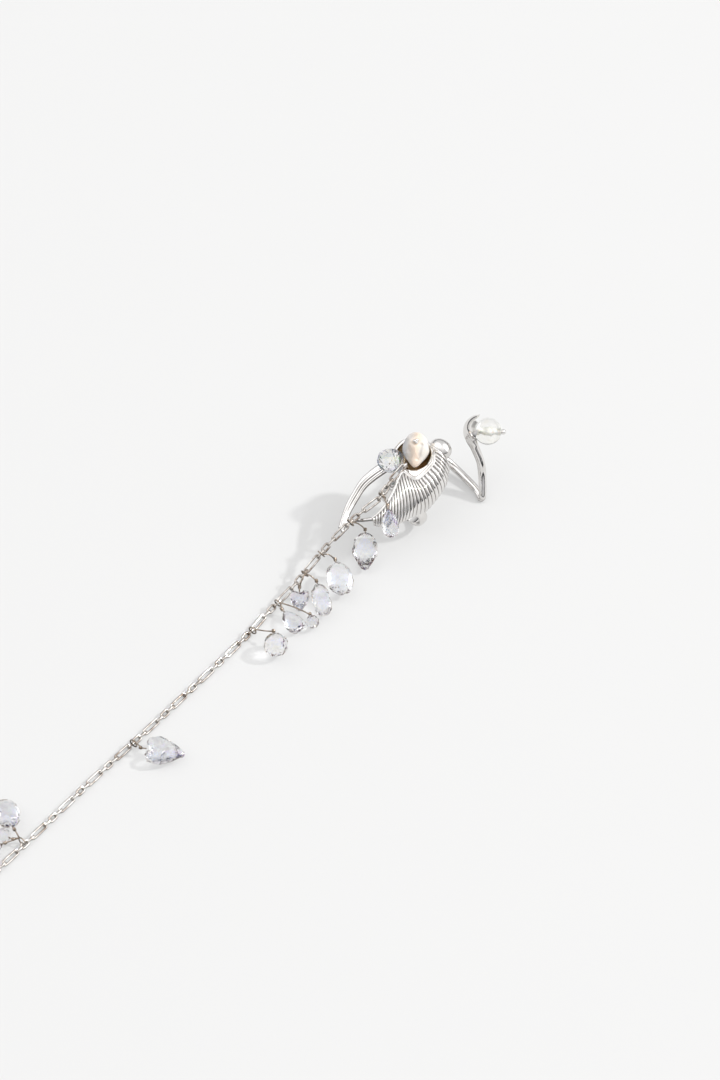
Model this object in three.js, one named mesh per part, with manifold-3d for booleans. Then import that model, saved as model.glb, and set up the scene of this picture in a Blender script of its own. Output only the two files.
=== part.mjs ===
// Nail ring: a cast shell on a hoop, with a curled front arm, a leaf-shaped back loop,
// two pearls, one faceted rondelle, and a fancy chain that carries twelve crystal drops.
// Millimetres, +Z up, +X along the chain towards the fingertip, lying on the plane z = 0.
import * as THREE from 'three';
import { mergeVertices } from 'three/addons/utils/BufferGeometryUtils.js';
import Module from 'manifold-3d';

const wasm = await Module();
wasm.setup();

// ---------- driving dimensions ----------

const fit = 0.3; // clearance between a stone or pearl and its setting
const touch = 0.15; // clearance between pieces that bear on each other

const hoop = { outer: 7.5, inner: 6.45, width: 2.6, tilt: 13, turn: 6.42 };
const shell = { ribs: 28, ribHeight: 0.32, bulge: 1.5, lipWall: 1.0, innerRadius: 7.75 };
const mouth = { z: 9.4, wall: 0.9, depth: 2.4, fingerRadius: 6.9 };
const mouthLobes = [
  { x: 9.1, y: 3.8, radius: 5.8 }, // round the pearl
  { x: 7.0, y: 1.6, radius: 4.7 }, // spout towards the notch in the lip
];
const dome = { x: 15.8, y: 0.2, z: 7.9, wide: 2.75, long: 3.3 };
const baroque = { x: 10.3, y: 3.7, z: 10.7, long: 9.8, wide: 7.2, thick: 6.6 };
const rondelle = { x: 3.9, y: 7.0, z: 10.0, diameter: 8.0, thick: 4.8 };
const tipPearl = { along: 27.8, side: -3.3, height: 17.2, radius: 3.75 };
const cup = { back: 6.5, rim: -0.9, radius: 4.75, prongs: 4, valleyWide: 1.9, valleyDeep: 2.5 };
const pin = { shank: 0.3, hole: 0.5, head: 0.75, proud: 0.45 };
const earFoot = 7.2; // height at which the ear that holds the chain is soldered in the mouth
const link = { long: 6.15, small: 3.1, width: 1.8, wire: 0.5, smallStep: 2.2 };
const chain = { lead: 2.5, start: -2.3, repeats: 15 };
const endRingRadius = 0.8;
const hook = { radius: 1.1, wire: 0.4 };
const hookShift = 0.12; // how far a hook sits back from the middle of its small link

// ---------- tables ----------

// The ribbed wing of the shell, one row for each fold: x along the finger, angle round it
// from the top towards the near side, and distance from its axis, at the lip and at the hem.
const wingFolds = [
  { lipX: 14.1, lipAngle: -6, lipR: 9.0, hemX: 14.6, hemAngle: 32, hemR: 8.2 },
  { lipX: 12.5, lipAngle: 4, lipR: 9.3, hemX: 12.7, hemAngle: 44, hemR: 8.2 },
  { lipX: 11.0, lipAngle: 11, lipR: 9.4, hemX: 10.2, hemAngle: 57, hemR: 8.2 },
  { lipX: 8.6, lipAngle: 13, lipR: 9.4, hemX: 7.1, hemAngle: 65, hemR: 8.2 },
  { lipX: 6.0, lipAngle: 13, lipR: 9.3, hemX: 4.0, hemAngle: 69, hemR: 8.2 },
  { lipX: 4.4, lipAngle: 10, lipR: 9.2, hemX: 0.8, hemAngle: 70, hemR: 8.2 },
  { lipX: 3.7, lipAngle: 2, lipR: 9.4, hemX: -1.9, hemAngle: 61, hemR: 8.2 },
  { lipX: 3.4, lipAngle: -8, lipR: 9.6, hemX: -4.3, hemAngle: 55, hemR: 8.2 },
  { lipX: 1.6, lipAngle: -9, lipR: 9.4, hemX: -6.5, hemAngle: 50, hemR: 8.2 },
  { lipX: -0.9, lipAngle: -4, lipR: 9.2, hemX: -8.7, hemAngle: 45, hemR: 8.2 },
  { lipX: -3.8, lipAngle: 3, lipR: 9.0, hemX: -10.5, hemAngle: 38, hemR: 8.1 },
  { lipX: -6.9, lipAngle: 7, lipR: 8.7, hemX: -11.3, hemAngle: 31, hemR: 7.9 },
  { lipX: -9.5, lipAngle: 7, lipR: 8.2, hemX: -11.9, hemAngle: 24, hemR: 7.6 },
  { lipX: -11.6, lipAngle: 4, lipR: 7.6, hemX: -12.3, hemAngle: 15, hemR: 7.1 },
];

// Stones on the chain. The axis runs from the hook end to the far end: heading in degrees
// from +X, pitch in degrees above level. Sizes are along, across and through.
const drops = [
  { cut: 'pear', x: -12.9, y: -4.9, z: 14.6, heading: 230, pitch: -40, size: [8.2, 5.2, 3.0], hook: 1 },
  { cut: 'fancy', x: -18.2, y: -0.6, z: 4.4, heading: 219, pitch: -32, size: [10.4, 7.4, 4.8], hook: 2 },
  { cut: 'round', x: -29.5, y: -0.9, z: 3.9, heading: 231, pitch: -12, size: [10.0, 7.6, 5.2], hook: 3 },
  { cut: 'long', x: -38.1, y: -1.6, z: 3.5, heading: 232, pitch: -10, size: [10.2, 5.4, 4.8], hook: 4 },
  { cut: 'heart', x: -41.3, y: 3.3, z: 2.3, heading: 219, pitch: -6, size: [7.2, 6.0, 3.2], hook: 4 },
  { cut: 'ball', x: -44.8, y: -4.0, z: 2.15, heading: 232, pitch: 0, size: [4.0, 4.0, 4.0], hook: 5 },
  { cut: 'pear', x: -48.0, y: 0.4, z: 2.15, heading: 254, pitch: -4, size: [8.0, 6.0, 3.6], hook: 5 },
  { cut: 'ball', x: -58.0, y: -2.3, z: 3.7, heading: 228, pitch: -10, size: [7.0, 7.0, 6.8], hook: 6 },
  { cut: 'heart', x: -103.9, y: -2.0, z: 2.5, heading: 300, pitch: -3, size: [11.2, 9.6, 4.4], hook: 10 },
  { cut: 'round', x: -146.2, y: 16.2, z: 2.7, heading: 60, pitch: -3, size: [9.6, 7.2, 5.0], hook: 14 },
  { cut: 'ball', x: -151.9, y: 12.7, z: 2.2, heading: 105, pitch: 0, size: [4.2, 4.2, 4.2], hook: 14 },
  { cut: 'pear', x: -157.2, y: 12.2, z: 2.1, heading: 158, pitch: -3, size: [6.6, 4.4, 3.6], hook: 14 },
];

// Which small link of its run each hook hangs on: -1 the first, 0 the middle, 1 the last.
const hookSteps = { 1: 1, 2: 1, 3: 1, 4: -1, 5: -1, 6: -1, 10: 1, 14: 0 };

// Half outlines of the cuts, for a stone of length 1 and width 1: distance from the axis
// and place along it, from the hook end at +0.5.
const cutOutlines = {
  pear: [[0, -0.5], [0.3, -0.46], [0.46, -0.28], [0.5, -0.08], [0.36, 0.2], [0.16, 0.42], [0, 0.5]],
  fancy: [[0, -0.5], [0.16, -0.46], [0.46, -0.12], [0.5, 0.06], [0.4, 0.34], [0.2, 0.48], [0, 0.5]],
  round: [[0, -0.5], [0.26, -0.48], [0.46, -0.28], [0.5, 0.02], [0.42, 0.3], [0.18, 0.47], [0, 0.5]],
  long: [[0, -0.5], [0.3, -0.47], [0.46, -0.34], [0.5, 0], [0.42, 0.32], [0.2, 0.46], [0, 0.5]],
  heart: [[0, -0.5], [0.1, -0.47], [0.34, -0.2], [0.5, 0.12], [0.44, 0.36], [0.2, 0.48], [0, 0.44]],
  ball: [[0, -0.5], [0.26, -0.43], [0.44, -0.24], [0.5, 0], [0.44, 0.24], [0.26, 0.43], [0, 0.5]],
};

// ---------- materials ----------

const silver = new THREE.MeshStandardMaterial({ color: 0xd9d7d3, metalness: 1, roughness: 0.16 });
const chainSilver = new THREE.MeshStandardMaterial({ color: 0xb9b3ab, metalness: 1, roughness: 0.28 });
const cream = new THREE.MeshStandardMaterial({ color: 0xf0e4d6, metalness: 0, roughness: 0.28 });
const white = new THREE.MeshStandardMaterial({ color: 0xf2f1ec, metalness: 0, roughness: 0.22 });
const crystal = new THREE.MeshStandardMaterial({ color: 0xeef0f4, metalness: 0, roughness: 0.04 });

// ---------- frames ----------

const radians = THREE.MathUtils.degToRad;
const tilt = radians(hoop.tilt);

// The hoop stands on one edge of its band, tipped back, with its centre above the origin.
const hoopCentre = new THREE.Vector3(
  -hoop.outer * Math.sin(tilt) + (hoop.width / 2) * Math.cos(tilt),
  0,
  hoop.outer * Math.cos(tilt) + (hoop.width / 2) * Math.sin(tilt),
);
const seat = new THREE.Group(); // turned from the line of the chain
seat.rotation.z = -radians(hoop.turn);
const ring = new THREE.Group(); // origin at the hoop's centre, X along the finger
ring.position.copy(hoopCentre);
ring.rotation.y = -tilt;
seat.add(ring);
seat.updateMatrixWorld(true);

const toRing = (along, side, height) =>
  new THREE.Vector3(along, side, height).applyMatrix4(ring.matrix.clone().invert());
const ringToFloor = (point) => point.clone().applyMatrix4(ring.matrixWorld);

// ---------- geometry helpers ----------

function toSolid(geometry) {
  const bare = geometry.index ? geometry.clone() : geometry;
  bare.deleteAttribute('normal');
  bare.deleteAttribute('uv');
  const merged = mergeVertices(bare, 1e-4);
  return new wasm.Manifold(new wasm.Mesh({
    numProp: 3,
    vertProperties: new Float32Array(merged.attributes.position.array),
    triVerts: new Uint32Array(merged.index.array),
  }));
}

function toGeometry(solid) {
  const mesh = solid.getMesh();
  const geometry = new THREE.BufferGeometry();
  geometry.setAttribute('position', new THREE.BufferAttribute(mesh.vertProperties, 3));
  geometry.setIndex(new THREE.BufferAttribute(mesh.triVerts, 1));
  geometry.computeVertexNormals();
  return geometry;
}

const join = (solids) => solids.reduce((whole, piece) => whole.add(piece));

function moved(geometry, position, rotation = new THREE.Quaternion()) {
  const placed = geometry.clone();
  placed.applyMatrix4(new THREE.Matrix4().compose(position, rotation, new THREE.Vector3(1, 1, 1)));
  return placed;
}

// Maps each vertex of a geometry through a function of its x, y and z.
function reshape(geometry, place) {
  const position = geometry.attributes.position;
  const point = new THREE.Vector3();
  for (let i = 0; i < position.count; i += 1) {
    point.fromBufferAttribute(position, i);
    const target = place(point.x, point.y, point.z);
    position.setXYZ(i, target.x, target.y, target.z);
  }
  return geometry;
}

// A closed bar bent along a curve: half width across the reference direction and half
// height along it, each a function of the share of the way along.
function bentBar(curve, halfWidth, halfHeight, steps, sides, reference) {
  const bar = new THREE.CylinderGeometry(1, 1, 1, sides, steps);
  return reshape(bar, (x, y, z) => {
    const share = THREE.MathUtils.clamp(y + 0.5, 0, 1);
    const tangent = curve.getTangentAt(share);
    const across = new THREE.Vector3().crossVectors(tangent, reference).normalize();
    const up = new THREE.Vector3().crossVectors(across, tangent);
    return curve.getPointAt(share)
      .addScaledVector(across, x * halfWidth(share))
      .addScaledVector(up, z * halfHeight(share));
  });
}

const smooth = (points) => new THREE.CatmullRomCurve3(points, false, 'centripetal');

// Rotation that takes +Y onto a direction.
const along = (direction) =>
  new THREE.Quaternion().setFromUnitVectors(new THREE.Vector3(0, 1, 0), direction.clone().normalize());

// ---------- the cast frame ----------

function hoopBand() {
  const half = hoop.width / 2;
  const soft = 0.3;
  const section = [
    new THREE.Vector2(hoop.inner, -half + soft),
    new THREE.Vector2(hoop.inner + soft, -half),
    new THREE.Vector2(hoop.outer - soft, -half),
    new THREE.Vector2(hoop.outer, -half + soft),
    new THREE.Vector2(hoop.outer, half - soft),
    new THREE.Vector2(hoop.outer - soft, half),
    new THREE.Vector2(hoop.inner + soft, half),
    new THREE.Vector2(hoop.inner, half - soft),
  ];
  const band = new THREE.LatheGeometry([...section, section[0]], 24);
  return band.rotateZ(-Math.PI / 2);
}

// Raised pad that solders the hoop to the shell above it.
function saddle() {
  const from = radians(90 - 52);
  const to = radians(90 + 24);
  const pad = new THREE.Shape();
  pad.absarc(0, 0, 8.6, from, to, false);
  pad.absarc(0, 0, hoop.inner + 0.4, to, from, true);
  const bar = new THREE.ExtrudeGeometry(pad, { depth: 2.2, bevelEnabled: false, curveSegments: 8 });
  // the sketch's x is the near side, its y is up and its depth is along the finger
  bar.applyMatrix4(new THREE.Matrix4().makeBasis(
    new THREE.Vector3(0, -1, 0), new THREE.Vector3(0, 0, 1), new THREE.Vector3(-1, 0, 0),
  ));
  return bar.translate(1.1, 0, 0);
}

// Blends the rows of the fold table at a share of the way from the dome to the tail.
function foldAt(share) {
  const place = THREE.MathUtils.clamp(share, 0, 1) * (wingFolds.length - 1);
  const before = Math.min(Math.floor(place), wingFolds.length - 2);
  const t = place - before;
  const mix = (key) => THREE.MathUtils.lerp(wingFolds[before][key], wingFolds[before + 1][key], t);
  return {
    lipX: mix('lipX'), lipAngle: mix('lipAngle'), lipR: mix('lipR'),
    hemX: mix('hemX'), hemAngle: mix('hemAngle'), hemR: mix('hemR'),
  };
}

function wing() {
  const columns = shell.ribs * 2;
  const slab = new THREE.BoxGeometry(1, 1, 1, columns, 4, 1);
  return reshape(slab, (x, y, z) => {
    const share = x + 0.5;
    const down = y + 0.5;
    const fold = foldAt(share);
    const crown = Math.sin(Math.PI * Math.pow(down, 0.8));
    const tail = 1 - 0.65 * THREE.MathUtils.smoothstep(share, 0.75, 1);
    const rib = Math.round(share * columns) % 2 === 0 ? -1 : 1;
    const outer = THREE.MathUtils.lerp(fold.lipR, fold.hemR, down)
      + shell.bulge * tail * crown + rib * shell.ribHeight * 0.5;
    const inner = Math.max(outer - shell.lipWall - 0.5 * crown, Math.min(shell.innerRadius, outer - 0.6));
    const radius = z > 0 ? outer : inner;
    const angle = radians(THREE.MathUtils.lerp(fold.lipAngle, fold.hemAngle, down));
    return new THREE.Vector3(
      THREE.MathUtils.lerp(fold.lipX, fold.hemX, down),
      -radius * Math.sin(angle),
      radius * Math.cos(angle),
    );
  });
}

// The mouth that holds the pearl: a bowl with a raised far rim, open to the sky.
function mouthBowl() {
  const outside = join(mouthLobes.map((lobe) => {
    const ball = new THREE.SphereGeometry(lobe.radius, 16, 8);
    return toSolid(ball.translate(lobe.x, lobe.y, mouth.z));
  }));
  const hollow = join(mouthLobes.map((lobe) => {
    const inside = lobe.radius - mouth.wall;
    const ball = new THREE.SphereGeometry(inside, 16, 8);
    ball.scale(1, 1, mouth.depth / inside);
    return toSolid(ball.translate(lobe.x, lobe.y, mouth.z));
  }));
  const sky = toSolid(new THREE.BoxGeometry(20, 20, 8).translate(8, 3, mouth.z + 4.15));
  const finger = toSolid(new THREE.CylinderGeometry(mouth.fingerRadius, mouth.fingerRadius, 60, 24)
    .rotateZ(Math.PI / 2));
  return outside.subtract(hollow).subtract(sky).subtract(finger);
}

function domeWhorl() {
  const ball = new THREE.SphereGeometry(1, 12, 8);
  ball.scale(dome.wide, dome.long, dome.wide);
  return ball.translate(dome.x, dome.y, dome.z);
}

// The arm leaves the dome, runs low under the fingertip and turns up steeply to the cup.
function frontArm() {
  const low = smooth([
    toRing(13.4, 0.8, 16.4),
    toRing(15.6, 3.4, 13.5),
    toRing(17.4, 5.2, 10.5),
    toRing(19.0, 6.2, 7.2),
    toRing(20.3, 6.0, 4.0),
    toRing(21.0, 4.2, 1.5),
    toRing(21.3, 2.0, 0.65),
    toRing(21.2, -0.9, 0.62),
    toRing(20.7, -6, 0.62),
    toRing(19.6, -9.4, 0.62),
  ]);
  const riser = smooth([
    toRing(19.6, -9.3, 0.75),
    toRing(20.9, -8.0, 3.4),
    toRing(22.2, -6.4, 6.2),
    toRing(23.0, -5.0, 9.8),
    toRing(23.5, -2.6, 13.6),
    toRing(24.3, -0.2, 16.4),
  ]);
  const wide = () => 1.0;
  const flat = () => 0.6;
  const riserWide = (t) => THREE.MathUtils.lerp(1.0, 1.25, t);
  const riserThick = (t) => THREE.MathUtils.lerp(0.75, 1.1, t);
  const lowBar = bentBar(low, flat, wide, 17, 6, new THREE.Vector3(1, 0, 0));
  const riserBar = bentBar(riser, riserWide, riserThick, 11, 8, new THREE.Vector3(1, 0, 0));
  const elbow = moved(new THREE.SphereGeometry(0.78, 8, 6), toRing(19.6, -9.35, 0.76));
  return [lowBar, riserBar, elbow];
}

const pearlCentre = toRing(tipPearl.along, tipPearl.side, tipPearl.height);
const cupCentre = toRing(24.5, 0.3, 17.2);
const cupAxis = pearlCentre.clone().sub(cupCentre).normalize(); // from the cup to the pearl

// The cup grips the back of the round pearl with pointed prongs.
function clawCup() {
  const profile = [
    new THREE.Vector2(0, -cup.back),
    new THREE.Vector2(cup.radius * 0.38, -cup.back + 0.35),
    new THREE.Vector2(cup.radius * 0.76, -cup.back + 1.9),
    new THREE.Vector2(cup.radius * 0.93, cup.rim - 1.7),
    new THREE.Vector2(cup.radius, cup.rim),
    new THREE.Vector2(cup.radius - 0.5, cup.rim),
    new THREE.Vector2(cup.radius * 0.8, cup.rim - 1.7),
    new THREE.Vector2(cup.radius * 0.5, -cup.back + 2.2),
    new THREE.Vector2(0, -cup.back + 1.9),
  ];
  const bowl = toSolid(moved(new THREE.LatheGeometry(profile, 12), pearlCentre, along(cupAxis)));
  const valleys = [];
  for (let i = 0; i < cup.prongs; i += 1) {
    const angle = (i / cup.prongs) * Math.PI * 2;
    const valley = new THREE.CylinderGeometry(cup.valleyWide, cup.valleyWide, 8, 8);
    valley.rotateZ(Math.PI / 2);
    valley.scale(1, cup.valleyDeep / cup.valleyWide, 1);
    valley.translate(4.6, cup.rim + 0.1, 0);
    valley.rotateY(angle);
    valleys.push(toSolid(moved(valley, pearlCentre, along(cupAxis))));
  }
  return bowl.subtract(join(valleys));
}

// The back loop: three strands side by side from the mouth to the leaf's point, and a thin
// stem from the shell's tail to the same point.
function backLoop() {
  const strands = [];
  const leg = [
    [3.4, 8.4, 7.2], [1.2, 8.8, 7.2], [-1.6, 9.4, 6.9], [-5.0, 9.7, 6.5],
    [-9.1, 8.8, 6.2], [-12.9, 7.6, 6.0], [-16.3, 5.9, 6.0], [-19.0, 4.3, 6.0],
  ];
  for (const side of [-1, 0, 1]) {
    const points = leg.map(([x, y, z], i) => {
      const spread = side * THREE.MathUtils.lerp(0.85, 0.3, i / (leg.length - 1));
      return new THREE.Vector3(x + spread * 0.35, y + spread, z + (side === 0 ? 0.25 : 0));
    });
    const thick = (t) => THREE.MathUtils.lerp(0.62, 0.45, t);
    strands.push(bentBar(smooth(points), thick, thick, 12, 5, new THREE.Vector3(0, 0, 1)));
  }
  const stem = smooth([
    new THREE.Vector3(-10.8, -1.2, 7.2),
    new THREE.Vector3(-12.7, 1.2, 6.6),
    new THREE.Vector3(-14.9, 3.7, 6.1),
    new THREE.Vector3(-17.2, 5.2, 6.0),
  ]);
  const thin = () => 0.45;
  strands.push(bentBar(stem, thin, thin, 8, 6, new THREE.Vector3(0, 0, 1)));
  return strands;
}

// ---------- pearls, rondelle and pins ----------

// The blunt end of the baroque pearl leans back over the mouth, its narrow end towards the lip.
const baroqueAxis = new THREE.Vector3(0.72, 0.62, 0.12).normalize();
const baroqueCentre = new THREE.Vector3(baroque.x, baroque.y, baroque.z);

function baroquePearl(grow = 0) {
  const body = new THREE.SphereGeometry(0.5, 12, 10);
  reshape(body, (x, y, z) => {
    const narrow = 1 - 0.42 * THREE.MathUtils.smoothstep(-y, -0.05, 0.5);
    const lump = 1 + 0.05 * Math.sin(5 * x + 3 * y) * Math.cos(4 * z);
    return new THREE.Vector3(
      x * (baroque.wide + grow * 2) * narrow * lump,
      y * (baroque.long + grow * 2),
      z * (baroque.thick + grow * 2) * narrow * lump,
    );
  });
  return moved(body, baroqueCentre, along(baroqueAxis));
}

const baroquePinTop = new THREE.Vector3(11.2, 3.6, 14.35);
const baroquePinFoot = new THREE.Vector3(10.0, 4.0, 7.6);
const rondelleCentre = new THREE.Vector3(rondelle.x, rondelle.y, rondelle.z);
const rondelleAxis = new THREE.Vector3(0.49, 0.3, 0.82).normalize();

function rondelleStone(grow = 0) {
  const r = rondelle.diameter / 2 + grow;
  const h = rondelle.thick / 2 + grow;
  const profile = [
    new THREE.Vector2(0, -h), new THREE.Vector2(r * 0.55, -h), new THREE.Vector2(r * 0.88, -h * 0.5),
    new THREE.Vector2(r, 0), new THREE.Vector2(r * 0.88, h * 0.5), new THREE.Vector2(r * 0.55, h),
    new THREE.Vector2(0, h),
  ];
  return moved(new THREE.LatheGeometry(profile, 12), rondelleCentre, along(rondelleAxis));
}

// A straight rod between two points.
function rod(from, to, radius, sides = 8) {
  const bar = new THREE.CylinderGeometry(radius, radius, from.distanceTo(to), sides);
  return moved(bar, from.clone().lerp(to, 0.5), along(to.clone().sub(from)));
}

function headPin(head, foot, headRadius) {
  return join([
    toSolid(rod(head, foot, pin.shank, 6)),
    toSolid(moved(new THREE.SphereGeometry(headRadius, 8, 6), head)),
  ]);
}

const drilled = (geometry, from, to) => toSolid(geometry).subtract(toSolid(rod(from, to, pin.hole)));

// ---------- chain ----------

// Where the chain runs, from the shell's mouth down to the surface and out to its free end.
const chainRoute = smooth([
  new THREE.Vector3(5.2, 2.4, 19.7),
  new THREE.Vector3(2.7, 2.2, 19.5),
  new THREE.Vector3(-0.6, 2.6, 18.3),
  new THREE.Vector3(-3.6, 2.8, 17.0),
  new THREE.Vector3(-8.1, 2.5, 15.3),
  new THREE.Vector3(-12.0, 3.6, 13.8),
  new THREE.Vector3(-15.9, 4.5, 12.7),
  new THREE.Vector3(-19.8, 5.1, 11.5),
  new THREE.Vector3(-24.4, 6.2, 8.9),
  new THREE.Vector3(-30.6, 7.1, 5.6),
  new THREE.Vector3(-39.6, 7.5, 2.6),
  new THREE.Vector3(-50.7, 7.8, 1.0),
  new THREE.Vector3(-58.0, 7.3, 0.8),
  new THREE.Vector3(-77.3, 7.0, 0.8),
  new THREE.Vector3(-99.1, 7.0, 0.8),
  new THREE.Vector3(-122.1, 7.4, 0.8),
  new THREE.Vector3(-146.4, 7.2, 0.8),
  new THREE.Vector3(-180.0, 7.4, 0.8),
]);
chainRoute.arcLengthDivisions = 800;

const longToSmall = (link.long + link.small) / 2 - 2 * link.wire - touch;
const period = 2 * longToSmall + 2 * link.smallStep;
const up = new THREE.Vector3(0, 0, 1);

// Position and rotation of a link at a distance along the chain. Roll turns its flat side
// about the chain: at 0 it lies level.
function linkPlace(distance, roll) {
  const share = (distance + chain.lead) / chainRoute.getLength();
  const tangent = chainRoute.getTangentAt(share);
  const side = new THREE.Vector3().crossVectors(tangent, up).normalize();
  const top = new THREE.Vector3().crossVectors(side, tangent);
  const across = side.clone().multiplyScalar(Math.cos(radians(roll)))
    .addScaledVector(top, Math.sin(radians(roll)));
  const normal = new THREE.Vector3().crossVectors(tangent, across);
  const rotation = new THREE.Quaternion().setFromRotationMatrix(
    new THREE.Matrix4().makeBasis(tangent, across, normal),
  );
  return { position: chainRoute.getPointAt(share), rotation, tangent, across };
}

function linkShape(length) {
  const radius = (link.width - link.wire) / 2;
  const straight = (length - link.width) / 2;
  const oval = new THREE.TorusGeometry(radius, link.wire / 2, 4, 6);
  return reshape(oval, (x, y, z) => new THREE.Vector3(x + Math.sign(x) * straight, y, z));
}

const longLink = linkShape(link.long);
const smallLink = linkShape(link.small);
const leanIn = 35; // roll of the links whose flat side looks up and to the near side
const leanOut = -55; // roll of the links between them

const runCentre = (index) => chain.start + index * period;

// Three small links held together in one short stretch.
function smallRun(index) {
  return join([-1, 0, 1].map((step) => {
    const place = linkPlace(runCentre(index) + step * link.smallStep, step === 0 ? leanIn : leanOut);
    return toSolid(moved(smallLink, place.position, place.rotation));
  })).simplify(0.03);
}

// Ring on a short post in the mouth, which holds the first long link.
function chainEar() {
  const radius = (link.width - link.wire) / 2;
  const reach = (link.long - link.wire) / 2 + radius - link.wire - touch;
  const first = linkPlace(runCentre(0.5), leanOut);
  const inRing = ring.matrixWorld.clone().invert();
  const centre = first.position.clone().addScaledVector(first.tangent, -reach);
  const loop = moved(new THREE.TorusGeometry(radius, link.wire / 2, 5, 10), centre, first.rotation);
  const top = centre.clone().addScaledVector(first.tangent, -radius).applyMatrix4(inRing);
  const foot = top.clone().setZ(earFoot);
  return [loop.applyMatrix4(inRing), rod(top, foot, 0.35, 6)].map(toSolid);
}

// ---------- drops and hooks ----------

function dropFrame(drop) {
  const level = Math.cos(radians(drop.pitch));
  const axis = new THREE.Vector3(
    level * Math.cos(radians(drop.heading)),
    level * Math.sin(radians(drop.heading)),
    Math.sin(radians(drop.pitch)),
  );
  const side = new THREE.Vector3().crossVectors(axis, up).normalize();
  const face = new THREE.Vector3().crossVectors(side, axis);
  const rotation = new THREE.Quaternion().setFromRotationMatrix(
    new THREE.Matrix4().makeBasis(side.clone().negate(), axis.clone().negate(), face),
  );
  const centre = new THREE.Vector3(drop.x, drop.y, drop.z);
  return { centre, rotation, hookEnd: centre.clone().addScaledVector(axis, -drop.size[0] / 2) };
}

function dropStone(drop) {
  const [length, width, depth] = drop.size;
  const profile = cutOutlines[drop.cut].map(([r, y]) => new THREE.Vector2(r, y));
  const stone = new THREE.LatheGeometry(profile, 8);
  return stone.scale(width, length, depth);
}

// A ring through a small link of a run, with a wire from it to each stone.
function dropHook(index) {
  const step = hookSteps[index];
  const distance = runCentre(index) + step * (link.smallStep - hookShift);
  const place = linkPlace(distance, step === 0 ? leanIn : leanOut);
  const outward = place.across.clone().multiplyScalar(place.across.z > 0 ? 1 : -1);
  const centre = place.position.clone().addScaledVector(outward, hook.radius);
  const loop = new THREE.TorusGeometry(hook.radius, hook.wire / 2, 4, 8);
  const basis = new THREE.Matrix4().makeBasis(
    outward, new THREE.Vector3().crossVectors(place.tangent, outward), place.tangent,
  );
  const parts = [toSolid(moved(loop, centre, new THREE.Quaternion().setFromRotationMatrix(basis)))];
  for (const drop of drops.filter((row) => row.hook === index)) {
    const { hookEnd, centre: stoneCentre } = dropFrame(drop);
    const start = centre.clone().addScaledVector(outward, hook.radius);
    const end = hookEnd.clone().add(hookEnd.clone().sub(stoneCentre).setLength(touch + hook.wire / 2));
    const middle = start.clone().lerp(end, 0.5);
    middle.z = Math.max(middle.z, Math.min(start.z, middle.z + 1.2));
    const wire = new THREE.CatmullRomCurve3([start, middle, end]);
    const thick = () => hook.wire / 2;
    parts.push(toSolid(bentBar(wire, thick, thick, 4, 4, new THREE.Vector3(0.3, 0.2, 1))));
  }
  return join(parts).simplify(0.01);
}

// ---------- assembly ----------

const model = new THREE.Group();
model.add(seat);
const chainGroup = new THREE.Group();
model.add(chainGroup);

function addMesh(parent, name, geometry, material) {
  const mesh = new THREE.Mesh(geometry, material);
  mesh.name = name;
  parent.add(mesh);
  return mesh;
}

const frameSolid = join([
  toSolid(hoopBand()),
  toSolid(saddle()),
  toSolid(wing()),
  mouthBowl(),
  toSolid(domeWhorl()),
  clawCup(),
  ...chainEar(),
  ...frontArm().map(toSolid),
  ...backLoop().map(toSolid),
])
  .subtract(toSolid(baroquePearl(fit)))
  .subtract(toSolid(rondelleStone(fit)))
  .subtract(toSolid(moved(new THREE.SphereGeometry(tipPearl.radius + fit, 14, 10), pearlCentre)))
  .simplify(0.09);
addMesh(ring, 'ring_frame', toGeometry(frameSolid), silver);

addMesh(ring, 'baroque_pearl', toGeometry(drilled(baroquePearl(), baroquePinTop, baroquePinFoot)), cream);
addMesh(ring, 'baroque_pin', toGeometry(headPin(baroquePinTop, baroquePinFoot, pin.head * 0.85)), silver);
addMesh(ring, 'crystal_rondelle', rondelleStone(), crystal);

const tipHead = pearlCentre.clone().addScaledVector(cupAxis, tipPearl.radius + pin.proud);
const tipFoot = pearlCentre.clone().addScaledVector(cupAxis, -tipPearl.radius - 0.1);
const tipBall = moved(new THREE.SphereGeometry(tipPearl.radius, 14, 10), pearlCentre);
const tipSeat = toSolid(moved(new THREE.SphereGeometry(pin.head + touch, 8, 6), tipHead));
const tipSolid = drilled(tipBall, tipHead, tipFoot).subtract(tipSeat);
addMesh(ring, 'tip_pearl', toGeometry(tipSolid), white);
addMesh(ring, 'tip_pin', toGeometry(headPin(tipHead, tipFoot, pin.head)), silver);

for (let i = 1; i <= chain.repeats; i += 1) {
  const label = String(i).padStart(2, '0');
  addMesh(chainGroup, `chain_run_${label}`, toGeometry(smallRun(i)), chainSilver);
  const place = linkPlace(runCentre(i - 0.5), leanIn);
  const mesh = addMesh(chainGroup, `chain_link_${label}`, longLink, chainSilver);
  mesh.position.copy(place.position);
  mesh.quaternion.copy(place.rotation);
}

drops.forEach((drop, i) => {
  const { centre, rotation } = dropFrame(drop);
  const mesh = addMesh(chainGroup, `drop_${String(i + 1).padStart(2, '0')}`, dropStone(drop), crystal);
  mesh.position.copy(centre);
  mesh.quaternion.copy(rotation);
});
for (const index of new Set(drops.map((drop) => drop.hook))) {
  const label = String(index).padStart(2, '0');
  addMesh(chainGroup, `drop_hook_${label}`, toGeometry(dropHook(index)), chainSilver);
}

// The free end is finished by one plain round ring.
const lastLink = runCentre(chain.repeats) + link.smallStep;
const endPlace = linkPlace(lastLink + link.small / 2 + endRingRadius - 1.5 * link.wire - touch, leanIn);
const endLoop = new THREE.TorusGeometry(endRingRadius, link.wire / 2, 5, 10);
const endRing = addMesh(chainGroup, 'end_ring', endLoop, chainSilver);
endRing.position.copy(endPlace.position);
endRing.quaternion.copy(endPlace.rotation);

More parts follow.
